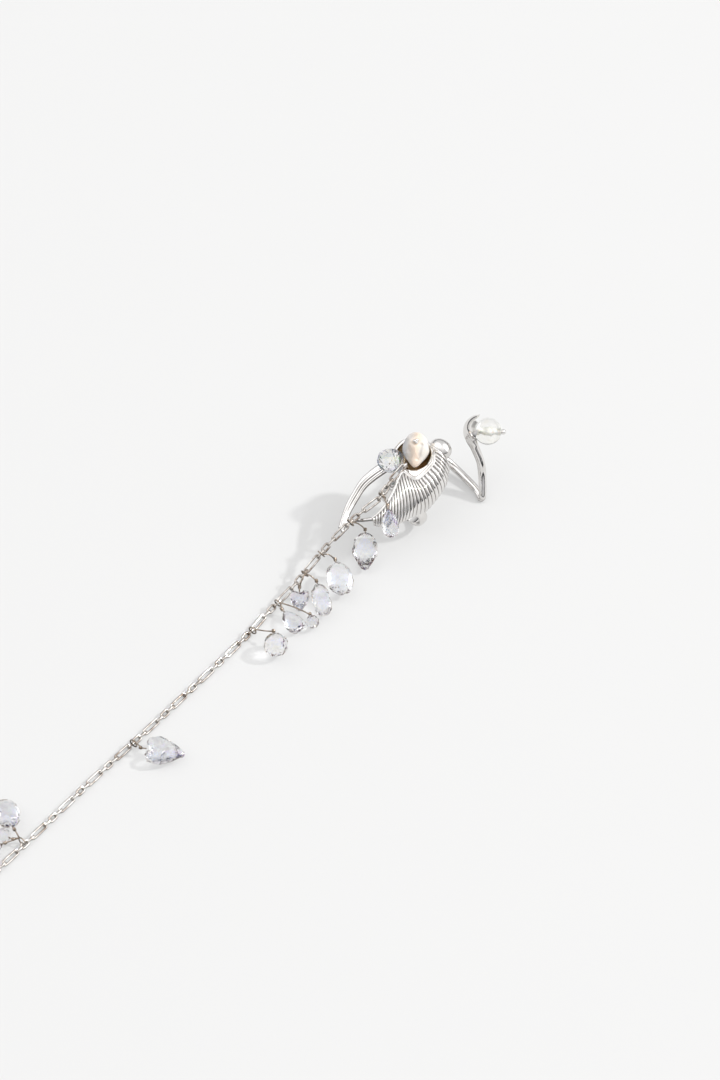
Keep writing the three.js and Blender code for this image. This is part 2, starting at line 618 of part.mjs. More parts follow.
// The origin is under the middle of the whole thing, on the surface it lies on.
model.updateMatrixWorld(true);
const bounds = new THREE.Box3().setFromObject(model, true);
const middle = bounds.getCenter(new THREE.Vector3());
model.position.set(-middle.x, -middle.y, -bounds.min.z);

export default model;
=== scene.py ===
# Nail ring: polished shell ring with pearls, a rondelle and a fancy chain of crystal drops.
import math
import random

import bpy
from mathutils import Matrix, Vector


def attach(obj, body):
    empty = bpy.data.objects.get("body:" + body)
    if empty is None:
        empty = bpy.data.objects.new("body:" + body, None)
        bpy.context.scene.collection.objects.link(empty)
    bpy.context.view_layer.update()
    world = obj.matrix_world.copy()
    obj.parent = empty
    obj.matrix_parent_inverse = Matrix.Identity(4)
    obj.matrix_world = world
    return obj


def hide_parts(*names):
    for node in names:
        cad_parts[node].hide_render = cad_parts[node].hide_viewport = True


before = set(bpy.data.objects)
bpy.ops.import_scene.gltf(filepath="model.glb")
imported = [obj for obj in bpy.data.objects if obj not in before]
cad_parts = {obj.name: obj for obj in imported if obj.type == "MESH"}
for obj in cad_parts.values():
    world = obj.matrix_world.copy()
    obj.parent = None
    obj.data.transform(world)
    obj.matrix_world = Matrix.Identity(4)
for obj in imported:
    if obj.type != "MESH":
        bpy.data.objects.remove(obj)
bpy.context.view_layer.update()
mm = 0.001
print("frame loaded:", len(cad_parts), "nodes")


# the ring's own frames, the same as in the part, in millimetres and degrees
hoop = {"outer": 7.5, "inner": 6.45, "width": 2.6, "tilt": 13.0, "turn": 6.42}
partShift = Vector((67.463, -4.418, 0.024))

tilt = math.radians(hoop["tilt"])
hoopCentre = Vector((
    -hoop["outer"] * math.sin(tilt) + hoop["width"] / 2 * math.cos(tilt),
    0,
    hoop["outer"] * math.cos(tilt) + hoop["width"] / 2 * math.sin(tilt),
))
scaleDown = Matrix.Scale(mm, 4)
partToWorld = scaleDown @ Matrix.Translation(partShift)  # millimetres of the part to metres
seatInPart = Matrix.Rotation(-math.radians(hoop["turn"]), 4, "Z")
ringInSeat = Matrix.Translation(hoopCentre) @ Matrix.Rotation(-tilt, 4, "Y")
ringToWorld = partToWorld @ seatInPart @ ringInSeat


def toRing(x, y, z):
    return ringInSeat.inverted() @ Vector((x, y, z))


def mix(a, b, t):
    return a + (b - a) * t


def smoothStep(t):
    t = min(max(t, 0.0), 1.0)
    return t * t * (3 - 2 * t)


def sampleTable(table, t):
    # straight lines between rows of (share, value)
    for (t0, v0), (t1, v1) in zip(table, table[1:]):
        if t <= t1:
            return mix(v0, v1, min(max((t - t0) / (t1 - t0), 0), 1))
    return table[-1][1]


class SmoothPath:
    # centripetal curve through points, walked by length
    def __init__(self, points, perSpan=40):
        pts = [Vector(p) for p in points]
        pts = [pts[0] * 2 - pts[1]] + pts + [pts[-1] * 2 - pts[-2]]
        dense = []
        for i in range(1, len(pts) - 2):
            p0, p1, p2, p3 = pts[i - 1:i + 3]
            d0 = max((p1 - p0).length, 1e-6) ** 0.5
            d1 = max((p2 - p1).length, 1e-6) ** 0.5
            d2 = max((p3 - p2).length, 1e-6) ** 0.5
            t1 = ((p1 - p0) / d0 - (p2 - p0) / (d0 + d1) + (p2 - p1) / d1) * d1
            t2 = ((p2 - p1) / d1 - (p3 - p1) / (d1 + d2) + (p3 - p2) / d2) * d1
            for k in range(perSpan):
                t = k / perSpan
                dense.append(p1 + t1 * t + (-3 * p1 + 3 * p2 - 2 * t1 - t2) * t * t
                             + (2 * p1 - 2 * p2 + t1 + t2) * t ** 3)
        dense.append(pts[-2])
        self.points = dense
        self.lengths = [0.0]
        for a, b in zip(dense, dense[1:]):
            self.lengths.append(self.lengths[-1] + (b - a).length)
        self.total = self.lengths[-1]

    def span(self, share):
        goal = min(max(share, 0.0), 1.0) * self.total
        low, high = 0, len(self.lengths) - 1
        while high - low > 1:
            middle = (low + high) // 2
            if self.lengths[middle] <= goal:
                low = middle
            else:
                high = middle
        return low, (goal - self.lengths[low]) / max(self.lengths[high] - self.lengths[low], 1e-9)

    def at(self, share):
        i, t = self.span(share)
        return self.points[i].lerp(self.points[i + 1], t)

    def tangent(self, share):
        step = 0.004
        a, b = max(share - step, 0.0), min(share + step, 1.0)
        return (self.at(b) - self.at(a)).normalized()


def clearSelection():
    if bpy.context.object and bpy.context.object.mode != "OBJECT":
        bpy.ops.object.mode_set(mode="OBJECT")
    bpy.ops.object.select_all(action="DESELECT")


def onlySelect(*pieces):
    clearSelection()
    for piece in pieces:
        piece.select_set(True)
    bpy.context.view_layer.objects.active = pieces[0]


def bake(piece, matrix):
    # puts the piece's place into its mesh
    piece.data.transform(matrix @ piece.matrix_world)
    piece.matrix_world = Matrix.Identity(4)
    piece.data.update()
    return piece


def newShape(name, add, place=Matrix.Identity(4), **values):
    # a primitive under its own name, with its place in its mesh
    clearSelection()
    add(**values)
    piece = bpy.context.object
    piece.name = piece.data.name = name
    bpy.context.view_layer.update()
    return bake(piece, place)


def turnTo(start, direction):
    return Vector(start).rotation_difference(Vector(direction).normalized()).to_matrix().to_4x4()


def sweep(name, around, along, place, capped=True, shadeMask=None):
    # a grid laid along a path: place(a, s) gives the point at share a round and share s along
    piece = newShape(name, bpy.ops.mesh.primitive_grid_add,
                     x_subdivisions=around, y_subdivisions=along, size=1)
    # an optional mask of painted shade, given at each point
    depth = piece.data.attributes.new("shadeMask", "FLOAT", "POINT") if shadeMask else None
    for i, vertex in enumerate(piece.data.vertices):
        a, s = min(max(vertex.co.x + 0.5, 0), 1), min(max(vertex.co.y + 0.5, 0), 1)
        if shadeMask:
            depth.data[i].value = shadeMask(a, s)
        vertex.co = place(a, s)
    bpy.ops.object.mode_set(mode="EDIT")
    bpy.ops.mesh.select_all(action="SELECT")
    bpy.ops.mesh.remove_doubles(threshold=1e-4)
    if capped:
        bpy.ops.mesh.fill_holes(sides=0)
        bpy.ops.mesh.select_all(action="SELECT")
    bpy.ops.mesh.normals_make_consistent(inside=False)
    bpy.ops.object.mode_set(mode="OBJECT")
    return piece


def sweepBar(name, path, halfWidth, halfHeight, reference, around=16, along=60, square=1.0):
    # a bar bent along a path; square below 1 flattens its sides
    reference = Vector(reference)

    def place(a, s):
        tangent = path.tangent(s)
        across = tangent.cross(reference).normalized()
        lift = across.cross(tangent)
        angle = a * 2 * math.pi
        c, n = math.cos(angle), math.sin(angle)
        c = math.copysign(abs(c) ** square, c)
        n = math.copysign(abs(n) ** square, n)
        return path.at(s) + across * c * halfWidth(s) + lift * n * halfHeight(s)

    return sweep(name, around, along, place)


def smoothShade(piece, angle=None):
    onlySelect(piece)
    if angle is None:
        bpy.ops.object.shade_smooth()
    else:
        bpy.ops.object.shade_smooth_by_angle(angle=math.radians(angle))
    return piece


def joinPieces(name, pieces):
    onlySelect(*pieces)
    bpy.ops.object.join()
    piece = bpy.context.object
    piece.name = piece.data.name = name
    return piece


def shadeUnderside(piece, amount, level):
    # painted shade: the metal darkens towards the underside, by how far each point faces down
    depth = piece.data.attributes.new("shadeMask", "FLOAT", "POINT")
    for i, normal in enumerate(piece.data.vertex_normals):
        depth.data[i].value = amount * (1 - smoothStep((normal.vector.z - level) / 0.6))


def finishPiece(piece, material, nodes):
    piece.data.materials.clear()
    piece.data.materials.append(material)
    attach(piece, "root")
    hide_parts(*nodes)


def newMaterial(name):
    material = bpy.data.materials.new(name)
    material.use_nodes = True
    tree = material.node_tree
    shader = tree.nodes["Principled BSDF"]
    coords = tree.nodes.new("ShaderNodeTexCoord")
    return material, tree, shader, coords


def addNoise(tree, coords, scale, detail=4.0, rough=0.55):
    noise = tree.nodes.new("ShaderNodeTexNoise")
    noise.inputs["Scale"].default_value = scale
    noise.inputs["Detail"].default_value = detail
    noise.inputs["Roughness"].default_value = rough
    tree.links.new(coords.outputs["Object"], noise.inputs["Vector"])
    return noise


def addRamp(tree, source, stops):
    ramp = tree.nodes.new("ShaderNodeValToRGB")
    points = ramp.color_ramp.elements
    while len(points) < len(stops):
        points.new(0.5)
    for point, (place, colour) in zip(points, stops):
        point.position = place
        point.color = (*colour, 1)
    tree.links.new(source, ramp.inputs["Fac"])
    return ramp


def addRange(tree, source, low, high):
    spread = tree.nodes.new("ShaderNodeMapRange")
    spread.inputs["To Min"].default_value = low
    spread.inputs["To Max"].default_value = high
    tree.links.new(source, spread.inputs["Value"])
    return spread


def addBump(tree, shader, source, strength, distance):
    bump = tree.nodes.new("ShaderNodeBump")
    bump.inputs["Strength"].default_value = strength
    bump.inputs["Distance"].default_value = distance
    tree.links.new(source, bump.inputs["Height"])
    tree.links.new(bump.outputs["Normal"], shader.inputs["Normal"])


def castMetal(name, values):
    # polished cast metal: faint tone changes, small ripples and fine handling marks
    material, tree, shader, coords = newMaterial(name)
    shader.inputs["Metallic"].default_value = 1.0
    broad = addNoise(tree, coords, values["toneScale"], 3)
    tone = addRamp(tree, broad.outputs["Fac"], [(0.3, values["dark"]), (0.7, values["light"])])
    shadeMask = tree.nodes.new("ShaderNodeAttribute")  # painted shade from the mesh: in the shell's rib valleys and towards undersides
    shadeMask.attribute_name = "shadeMask"
    # this mix lays the painted shade over the metal's tone
    worn = tree.nodes.new("ShaderNodeMix")
    worn.data_type = "RGBA"
    worn.inputs["B"].default_value = values["shadeTone"] + (1,)
    tree.links.new(shadeMask.outputs["Fac"], worn.inputs["Factor"])
    tree.links.new(tone.outputs["Color"], worn.inputs["A"])
    tree.links.new(worn.outputs["Result"], shader.inputs["Base Color"])
    fine = addNoise(tree, coords, values["markScale"], 6, 0.6)
    gloss = addRange(tree, fine.outputs["Fac"], values["roughLow"], values["roughHigh"])
    tree.links.new(gloss.outputs["Result"], shader.inputs["Roughness"])
    ripple = addNoise(tree, coords, values["rippleScale"], 2)
    addBump(tree, shader, ripple.outputs["Fac"], values["ripple"], values["rippleDepth"])
    return material


# the last tone in each finish is the colour of its painted shade
silverFinish = {
    "dark": (0.70, 0.68, 0.66), "light": (0.86, 0.845, 0.83), "toneScale": 160,
    "roughLow": 0.03, "roughHigh": 0.11, "markScale": 900,
    "ripple": 0.3, "rippleDepth": 0.0001, "rippleScale": 420, "shadeTone": (0.10, 0.085, 0.075),
}
goldenFinish = {
    "dark": (0.50, 0.36, 0.22), "light": (0.84, 0.70, 0.50), "toneScale": 260,
    "roughLow": 0.1, "roughHigh": 0.24, "markScale": 900,
    "ripple": 0.4, "rippleDepth": 0.00015, "rippleScale": 420, "shadeTone": (0.10, 0.06, 0.03),
}
chainFinish = {
    "dark": (0.24, 0.18, 0.14), "light": (0.90, 0.88, 0.84), "toneScale": 520,
    "roughLow": 0.05, "roughHigh": 0.16, "markScale": 1500,
    "ripple": 0.3, "rippleDepth": 0.00005, "rippleScale": 900, "shadeTone": (0.08, 0.06, 0.04),
}
wireFinish = {
    "dark": (0.16, 0.11, 0.075), "light": (0.60, 0.52, 0.44), "toneScale": 600,
    "roughLow": 0.12, "roughHigh": 0.26, "markScale": 1500,
    "ripple": 0.3, "rippleDepth": 0.00005, "rippleScale": 900, "shadeTone": (0.08, 0.06, 0.04),
}
silver = castMetal("rhodiumSilver", silverFinish)
satinSilver = castMetal("satinSilver", {**silverFinish, "roughLow": 0.17, "roughHigh": 0.26})
goldenInside = castMetal("mouthInside", goldenFinish)
chainMetal = castMetal("chainMetal", chainFinish)
wireMetal = castMetal("wireMetal", wireFinish)


def finishFrame(piece, angle=None, place=ringToWorld, finish=silver, paintedShade=None):
    # each piece of the soldered ring frame: into the world, shaded, then its metal
    bake(piece, place)
    smoothShade(piece, angle)
    # painted shade towards the underside, where asked
    if paintedShade:
        shadeUnderside(piece, *paintedShade)
    finishPiece(piece, finish, ["ring_frame"])


def pearlMaterial(name, values):
    # nacre: drifting tones under a clear coat, with a trace of light in it
    material, tree, shader, coords = newMaterial(name)
    drift = addNoise(tree, coords, values["driftScale"], 3, 0.5).outputs["Fac"]
    if values["litFlank"]:  # the mesh says how far round towards the lit side each point is: painted shade on the far flank, painted highlight on the near one
        litFlank = tree.nodes.new("ShaderNodeAttribute")
        litFlank.attribute_name = "litFlank"
        both = tree.nodes.new("ShaderNodeMath")
        both.operation = "MULTIPLY_ADD"
        both.inputs[1].default_value = 0.25
        tree.links.new(drift, both.inputs[0])
        tree.links.new(litFlank.outputs["Fac"], both.inputs[2])
        drift = both.outputs["Value"]
    tones = addRamp(tree, drift, values["tones"])
    tree.links.new(tones.outputs["Color"], shader.inputs["Base Color"])
    fine = addNoise(tree, coords, 1400, 4)
    gloss = addRange(tree, fine.outputs["Fac"], 0.16, 0.34)
    tree.links.new(gloss.outputs["Result"], shader.inputs["Roughness"])
    shader.inputs["Coat Weight"].default_value = 0.55
    shader.inputs["Coat Roughness"].default_value = 0.07
    shader.inputs["Subsurface Weight"].default_value = 0.25
    shader.inputs["Subsurface Radius"].default_value = (0.6, 0.5, 0.4)
    shader.inputs["Subsurface Scale"].default_value = 0.001
    shader.inputs["Sheen Weight"].default_value = 0.2
    shader.inputs["Sheen Roughness"].default_value = 0.3
    shader.inputs["Sheen Tint"].default_value = values["sheen"] + (1,)
    skin = addNoise(tree, coords, values["skinScale"], 3)
    addBump(tree, shader, skin.outputs["Fac"], values["skin"], 0.0002)
    return material


creamPearl = pearlMaterial("creamNacre", {
    "driftScale": 240, "litFlank": True, "skinScale": 260, "skin": 0.3,
    "sheen": (0.75, 0.82, 1.0),
    # partly the nacre's grey, cream and peach, partly painted shade and highlight: the lit flank sits higher
    # on this ramp
    "tones": [(0.2, (0.47, 0.47, 0.48)), (0.4, (0.62, 0.58, 0.54)), (0.56, (0.69, 0.59, 0.50)),
              (0.74, (0.72, 0.59, 0.48)), (0.92, (0.70, 0.67, 0.62))],
})
whitePearl = pearlMaterial("whiteNacre", {
    "driftScale": 620, "litFlank": False, "skinScale": 700, "skin": 0.4,
    "sheen": (0.9, 0.95, 0.8),
    "tones": [(0.34, (0.42, 0.41, 0.36)), (0.47, (0.70, 0.69, 0.62)), (0.6, (0.90, 0.90, 0.86))],
})


def crystalMaterial(name, values):
    # cut crystal: clear, with a faint tint and coloured fire; light passes through to the floor
    material, tree, shader, coords = newMaterial(name)
    tint = addNoise(tree, coords, values["tintScale"], 2)
    shade = addRamp(tree, tint.outputs["Fac"], values["tints"])
    facetShade = tree.nodes.new("ShaderNodeAttribute")  # painted reflection and shade: each facet darkened by its own random share
    facetShade.attribute_name = "facetShade"
    cast = tree.nodes.new("ShaderNodeMix")
    cast.data_type = "RGBA"
    cast.blend_type = "MULTIPLY"
    cast.inputs["B"].default_value = values["facetShadeTone"] + (1,)
    tree.links.new(facetShade.outputs["Fac"], cast.inputs["Factor"])
    tree.links.new(shade.outputs["Color"], cast.inputs["A"])
    tree.links.new(cast.outputs["Result"], shader.inputs["Base Color"])
    shader.inputs["Roughness"].default_value = 0.0
    shader.inputs["IOR"].default_value = values["ior"]
    shader.inputs["Transmission Weight"].default_value = 1.0 - values["milk"]
    shader.inputs["Coat Weight"].default_value = 0.3
    shader.inputs["Coat Roughness"].default_value = 0.02
    shader.inputs["Thin Film Thickness"].default_value = values["film"]
    shader.inputs["Thin Film IOR"].default_value = 1.4
    wave = addNoise(tree, coords, values["waveScale"], 2)
    addBump(tree, shader, wave.outputs["Fac"], values["wave"], 0.0003)
    clear = tree.nodes.new("ShaderNodeBsdfTransparent")
    clear.inputs["Color"].default_value = values["shadow"] + (1,)
    path = tree.nodes.new("ShaderNodeLightPath")
    blend = tree.nodes.new("ShaderNodeMixShader")
    output = tree.nodes["Material Output"]
    tree.links.new(path.outputs["Is Shadow Ray"], blend.inputs["Fac"])
    tree.links.new(shader.outputs["BSDF"], blend.inputs[1])
    tree.links.new(clear.outputs["BSDF"], blend.inputs[2])
    tree.links.new(blend.outputs["Shader"], output.inputs["Surface"])
    return material


glassPearl = crystalMaterial("glassPearl", {
    "tintScale": 340, "ior": 1.42, "film": 300, "shadow": (0.4, 0.4, 0.4), "milk": 0.06,
    "waveScale": 330, "wave": 0.1, "facetShadeTone": (1, 1, 1),
    "tints": [(0.34, (0.90, 0.905, 0.90)), (0.5, (0.95, 0.95, 0.93)), (0.66, (0.93, 0.91, 0.85))],
})
dropCrystal = crystalMaterial("clearCrystal", {
    "tintScale": 260, "ior": 1.64, "film": 320, "shadow": (0.38, 0.38, 0.39), "waveScale": 420,
    "wave": 0.22, "milk": 0, "facetShadeTone": (0.84, 0.84, 0.88),
    "tints": [(0.36, (0.965, 0.965, 0.99)), (0.5, (0.985, 0.985, 0.99)), (0.68, (0.99, 0.98, 0.96))],
})
rondelleCrystal = crystalMaterial("rondelleCrystal", {
    "tintScale": 300, "ior": 1.68, "film": 420, "shadow": (0.5, 0.5, 0.52), "waveScale": 420,
    "wave": 0.04, "milk": 0.05, "facetShadeTone": (0.80, 0.80, 0.83),
    "tints": [(0.35, (0.90, 0.93, 0.99)), (0.5, (0.98, 0.98, 0.99)), (0.66, (0.99, 0.96, 0.88))],
})
print("finishes made")


# ribs run across the shell, from its lip down to its hem
shell = {
    "ribs": 28, "ribDepth": 0.56, "bulge": 1.5, "lipWall": 1.0, "innerRadius": 7.75,
    # the last setting is the strength of the painted shade in the rib valleys
    "ribRound": 0.97, "ribSink": 0.62, "perRib": 12, "rowsOut": 34, "rowsIn": 12, "edge": 4, "paintedShade": 0.55,
}
shellRows = shell["rowsOut"] + shell["edge"] + shell["rowsIn"] + shell["edge"]
wingFolds = [  # lipX, lipAngle, lipR, hemX, hemAngle, hemR
    (14.1, -6, 9.0, 14.6, 32, 8.2), (12.5, 4, 9.3, 12.7, 44, 8.2), (11.0, 11, 9.4, 10.2, 57, 8.2),
    (8.6, 13, 9.4, 7.1, 65, 8.2), (6.0, 13, 9.3, 4.0, 69, 8.2), (4.4, 10, 9.2, 0.8, 70, 8.2),
    (3.9, 1, 9.5, -1.9, 61, 8.2), (3.9, -13, 10.1, -4.3, 55, 8.2), (1.8, -11, 9.7, -6.5, 50, 8.2),
    (-0.9, -4, 9.2, -8.7, 45, 8.2), (-3.8, 3, 9.0, -10.5, 38, 8.1), (-6.9, 7, 8.7, -11.3, 31, 7.9),
    (-9.5, 7, 8.2, -11.9, 24, 7.6), (-11.6, 4, 7.6, -12.3, 15, 7.1),
]


def foldAt(share):
    # the rows joined by smooth curves
    last = len(wingFolds) - 1
    place = min(max(share, 0), 1) * last
    row = min(int(place), last - 1)
    t = place - row
    near = [wingFolds[min(max(row + k, 0), last)] for k in (-1, 0, 1, 2)]
    return [b + 0.5 * t * (c - a + t * (2 * a - 5 * b + 4 * c - d + t * (3 * (b - c) + d - a)))
            for a, b, c, d in zip(*near)]


def wingRadius(share, down):
    fold = foldAt(share)
    crown = math.sin(math.pi * max(down, 0) ** 0.8)
    tail = 1 - 0.65 * smoothStep((share - 0.75) / 0.25)
    return mix(fold[2], fold[5], down) + shell["bulge"] * tail * crown, crown


def onWing(share, down, radius):
    fold = foldAt(share)
    angle = math.radians(mix(fold[1], fold[4], down))
    return Vector((mix(fold[0], fold[3], down), -radius * math.sin(angle), radius * math.cos(angle)))


def wingPoint(a, share):
    step = a * shellRows
    if step <= shell["rowsOut"]:
        down, side = step / shell["rowsOut"], 1.0
    elif step <= shell["rowsOut"] + shell["edge"]:
        down, side = 1.0, 1 - (step - shell["rowsOut"]) / shell["edge"]
    elif step <= shell["rowsOut"] + shell["edge"] + shell["rowsIn"]:
        down, side = 1 - (step - shell["rowsOut"] - shell["edge"]) / shell["rowsIn"], 0.0
    else:
        down, side = 0.0, (step - shellRows + shell["edge"]) / shell["edge"]
    outer, crown = wingRadius(share, down)
    inner = max(outer - shell["lipWall"] - 0.5 * crown, min(shell["innerRadius"], outer - 0.6))
    t = (share * shell["ribs"]) % 1.0 * 2 - 1
    ridge = math.sqrt(max(1 - shell["ribRound"] * t * t, 0))
    fade = smoothStep(down / 0.07) * mix(1.0, 0.55, smoothStep((down - 0.8) / 0.2))
    outer += shell["ribDepth"] * (ridge - shell["ribSink"]) * fade
    radius = mix(inner, outer, side)
    point = onWing(share, down, radius)
    if side not in (0.0, 1.0):  # rounds the edges outward
        roll = math.sin(math.pi * side) * 0.3
        point.y += roll * (1 if down < 0.5 else -1) * 0.7
        point.z += roll * (0.6 if down < 0.5 else -0.7)
    return point


def wingValleyShade(a, share):
    # painted shade in the valleys between the ribs, on the outer face
    down = a * shellRows / shell["rowsOut"]
    t = abs((share * shell["ribs"]) % 1.0 * 2 - 1)
    return shell["paintedShade"] * smoothStep((t - 0.68) / 0.32) * smoothStep(down / 0.05) if down <= 1 else 0


def makeShell():
    wing = sweep("ribbedShell", shellRows, shell["ribs"] * shell["perRib"], wingPoint, shadeMask=wingValleyShade)
    finishFrame(wing, 60)


makeShell()


# a thick roll on the shell's edge and a thin bead beside it
lip = {"radius": 0.5, "inner": 0.3, "rise": 0.15, "beadRise": 0.12, "beadDown": 0.075, "steps": 220}


def makeLip():
    shares = [i / 52 for i in range(53)]
    down = lip["beadDown"]
    outerLine = [onWing(share, 0.0, wingRadius(share, 0)[0] + lip["rise"]) for share in shares]
    innerLine = [onWing(share, down, wingRadius(share, down)[0] + lip["beadRise"]) for share in shares]
    pieces = []
    for name, line, radius in (("lipRoll", outerLine, lip["radius"]), ("lipBead", innerLine, lip["inner"])):
        path = SmoothPath(line, 8)
        taper = lambda s, r=radius: (r * mix(0.55, 1.0, smoothStep(s / 0.08))
                                     * mix(1.0, 0.5, smoothStep((s - 0.72) / 0.28)))
        pieces.append(sweepBar(name, path, taper, taper, (0, 0, 1), 12, lip["steps"]))
    finishFrame(joinPieces("rolledLip", pieces))


makeLip()


# two round lobes with one rim; the pearl stands in a well with a shelf beside it
mouth = {
    "z": 9.4, "wall": 0.9, "depth": 2.4, "fingerRadius": 6.9, "around": 180, "rows": 90,
    "lobes": [(9.1, 3.8, 5.8), (7.0, 1.6, 4.7)], "middle": (8.6, 3.3), "farDrop": 0.7,
    "well": (9.6, 3.9, 4.75), "shelf": 0.3, "wellDepth": 3.2, "outsideDepth": 5.4, "rimLift": 0.15,
    "farAngle": 115.0,
}


def mouthReach(angle):
    # outline of both lobes together, from the middle
    reach = 0
    for x, y, radius in mouth["lobes"]:
        dx, dy = mouth["middle"][0] - x, mouth["middle"][1] - y
        b = dx * math.cos(angle) + dy * math.sin(angle)
        c = dx * dx + dy * dy - radius * radius
        reach = max(reach, -b + math.sqrt(max(b * b - c, 0)))
    return reach


def mouthPoint(s, a):
    angle = a * 2 * math.pi
    reach = mouthReach(angle)
    far = max(0.0, math.cos(angle - math.radians(mouth["farAngle"])))
    rim = mouth["z"] + mouth["rimLift"] - mouth["farDrop"] * far ** 2
    if s < 0.45:  # outside, from the bottom up
        t = math.sin(s / 0.45 * math.pi / 2)
        r = reach * t
        z = mouth["z"] - mouth["outsideDepth"] * math.sqrt(max(1 - t * t, 0))
        side = 1
    elif s < 0.55:  # over the rim
        t = (s - 0.45) / 0.1
        r = reach - mouth["wall"] * (0.5 - 0.5 * math.cos(t * math.pi))
        z = mouth["z"] + (rim - mouth["z"]) * math.sin(t * math.pi)
        side = 0
    else:  # down the inside
        t = math.cos((s - 0.55) / 0.45 * math.pi / 2)
        r = (reach - mouth["wall"]) * t
        z = mouth["z"] - mouth["depth"] * math.sqrt(max(1 - t * t, 0))
        side = -1
    x = mouth["middle"][0] + r * math.cos(angle)
    y = mouth["middle"][1] + r * math.sin(angle)
    floor = math.sqrt(max(mouth["fingerRadius"] ** 2 - y * y, 0))
    if side == 1:
        z = max(z, floor)
    elif side == -1:
        fromWell = math.hypot(x - mouth["well"][0], y - mouth["well"][1]) - mouth["well"][2]
        sunk = 1 - smoothStep((fromWell + 0.55) / 0.8)
        z = max(z, floor + 0.5, rim - mouth["shelf"] - mouth["wellDepth"] * sunk)
    return Vector((x, y, z))


def makeMouth():
    bowl = sweep("mouthBowl", mouth["rows"], mouth["around"], mouthPoint, capped=False)
    finishFrame(bowl, 50)
    bowl.data.materials.append(goldenInside)
    inverse = ringToWorld.inverted()
    for polygon in bowl.data.polygons:
        place = inverse @ polygon.center
        reach = mouthReach(math.atan2(place.y - mouth["middle"][1], place.x - mouth["middle"][0]))
        distance = math.hypot(place.x - mouth["middle"][0], place.y - mouth["middle"][1])
        fromWell = math.hypot(place.x - mouth["well"][0], place.y - mouth["well"][1]) - mouth["well"][2]
        facing = (inverse.to_3x3() @ polygon.normal).normalized()
        if distance < reach - 0.75 * mouth["wall"] and fromWell < 0.1 and facing.z > 0.05:
            polygon.material_index = 1


makeMouth()
print("shell made")


# satin dome at the fingertip end, with a furrow and a collar
dome = {
    "centre": (15.8, 0.2, 7.9), "size": (2.75, 3.3, 2.75), "collar": 0.3, "collarOval": (1.55, 2.75, 2.3),
    "furrow": 0.05, "furrowAt": -0.55, "furrowLean": 0.12, "furrowWide": 0.09,
}


def makeDome():
    centre = Vector(dome["centre"])
    ball = newShape("dome", bpy.ops.mesh.primitive_uv_sphere_add,
                    Matrix.LocRotScale(centre, None, Vector(dome["size"])),
                    segments=48, ring_count=28, radius=1)
    # the tip curls over like a whorl, with one spiral furrow
    for vertex in ball.data.vertices:
        reach = vertex.co - centre
        turn = math.atan2(reach.z, reach.y)
        height = reach.x / dome["size"][0]
        away = height - dome["furrowAt"] - dome["furrowLean"] * math.cos(turn)
        furrow = math.exp(-(away / dome["furrowWide"]) ** 2)
        vertex.co = centre + reach * (1 - dome["furrow"] * furrow)
    back, across, high = dome["collarOval"]
    turns = [t * math.pi / 8 for t in range(-2, 11)]
    path = SmoothPath([centre + Vector((-back, across * math.cos(t), high * math.sin(t))) for t in turns])
    wide = lambda s: dome["collar"] * (0.4 + 0.6 * math.sin(math.pi * s))
    collar = sweepBar("domeCollar", path, wide, wide, (1, 0, 0), 10, 48)
    finishFrame(joinPieces("domeWhorl", [ball, collar]), finish=satinSilver)


makeDome()


# the hoop's soft section, and the pad that the shell is soldered to
hoopDetail = {"crown": 0.32, "soft": 0.3, "steps": 160, "padWide": 1.1, "padOut": 8.6, "flare": 1.7}


def makeHoop():
    # a low-crowned band: the same rounded section all the way round the finger's axis
    half, crown, soft = hoop["width"] / 2, hoopDetail["crown"], hoopDetail["soft"]
    section = [(-half, hoop["inner"] + soft)]
    for i in range(13):
        t = i / 12
        section.append((mix(-half, half, t), hoop["outer"] - crown * (2 * t - 1) ** 4))
    section += [(half, hoop["inner"] + soft), (half - soft, hoop["inner"]), (soft - half, hoop["inner"])]
    section.append(section[0])
    count = len(section) - 1

    def bandPoint(a, s):
        x, r = section[min(round(a * count), count)]
        angle = s * 2 * math.pi
        if x < 0:
            x -= hoopDetail["flare"] * max(math.cos(angle - math.radians(80)), 0) ** 2
        return Vector((x, r * math.sin(angle), r * math.cos(angle)))

    band = sweep("hoopBand", count, hoopDetail["steps"], bandPoint, capped=False)

    def padPoint(a, s):
        angle = math.radians(mix(-50, 23, s))
        corner = a * 4
        corners = [(-1, 1), (1, 1), (1, -1), (-1, -1), (-1, 1)]
        i = min(int(corner), 3)
        x = mix(corners[i][0], corners[i + 1][0], corner - i) * hoopDetail["padWide"]
        r = mix(corners[i][1], corners[i + 1][1], corner - i)
        r = mix(hoop["inner"] + 0.5, hoopDetail["padOut"], (r + 1) / 2)
        return Vector((x, r * math.sin(angle), r * math.cos(angle)))

    pad = sweep("solderPad", 24, 30, padPoint)
    finishFrame(joinPieces("fingerHoop", [band, pad]), 40)


makeHoop()


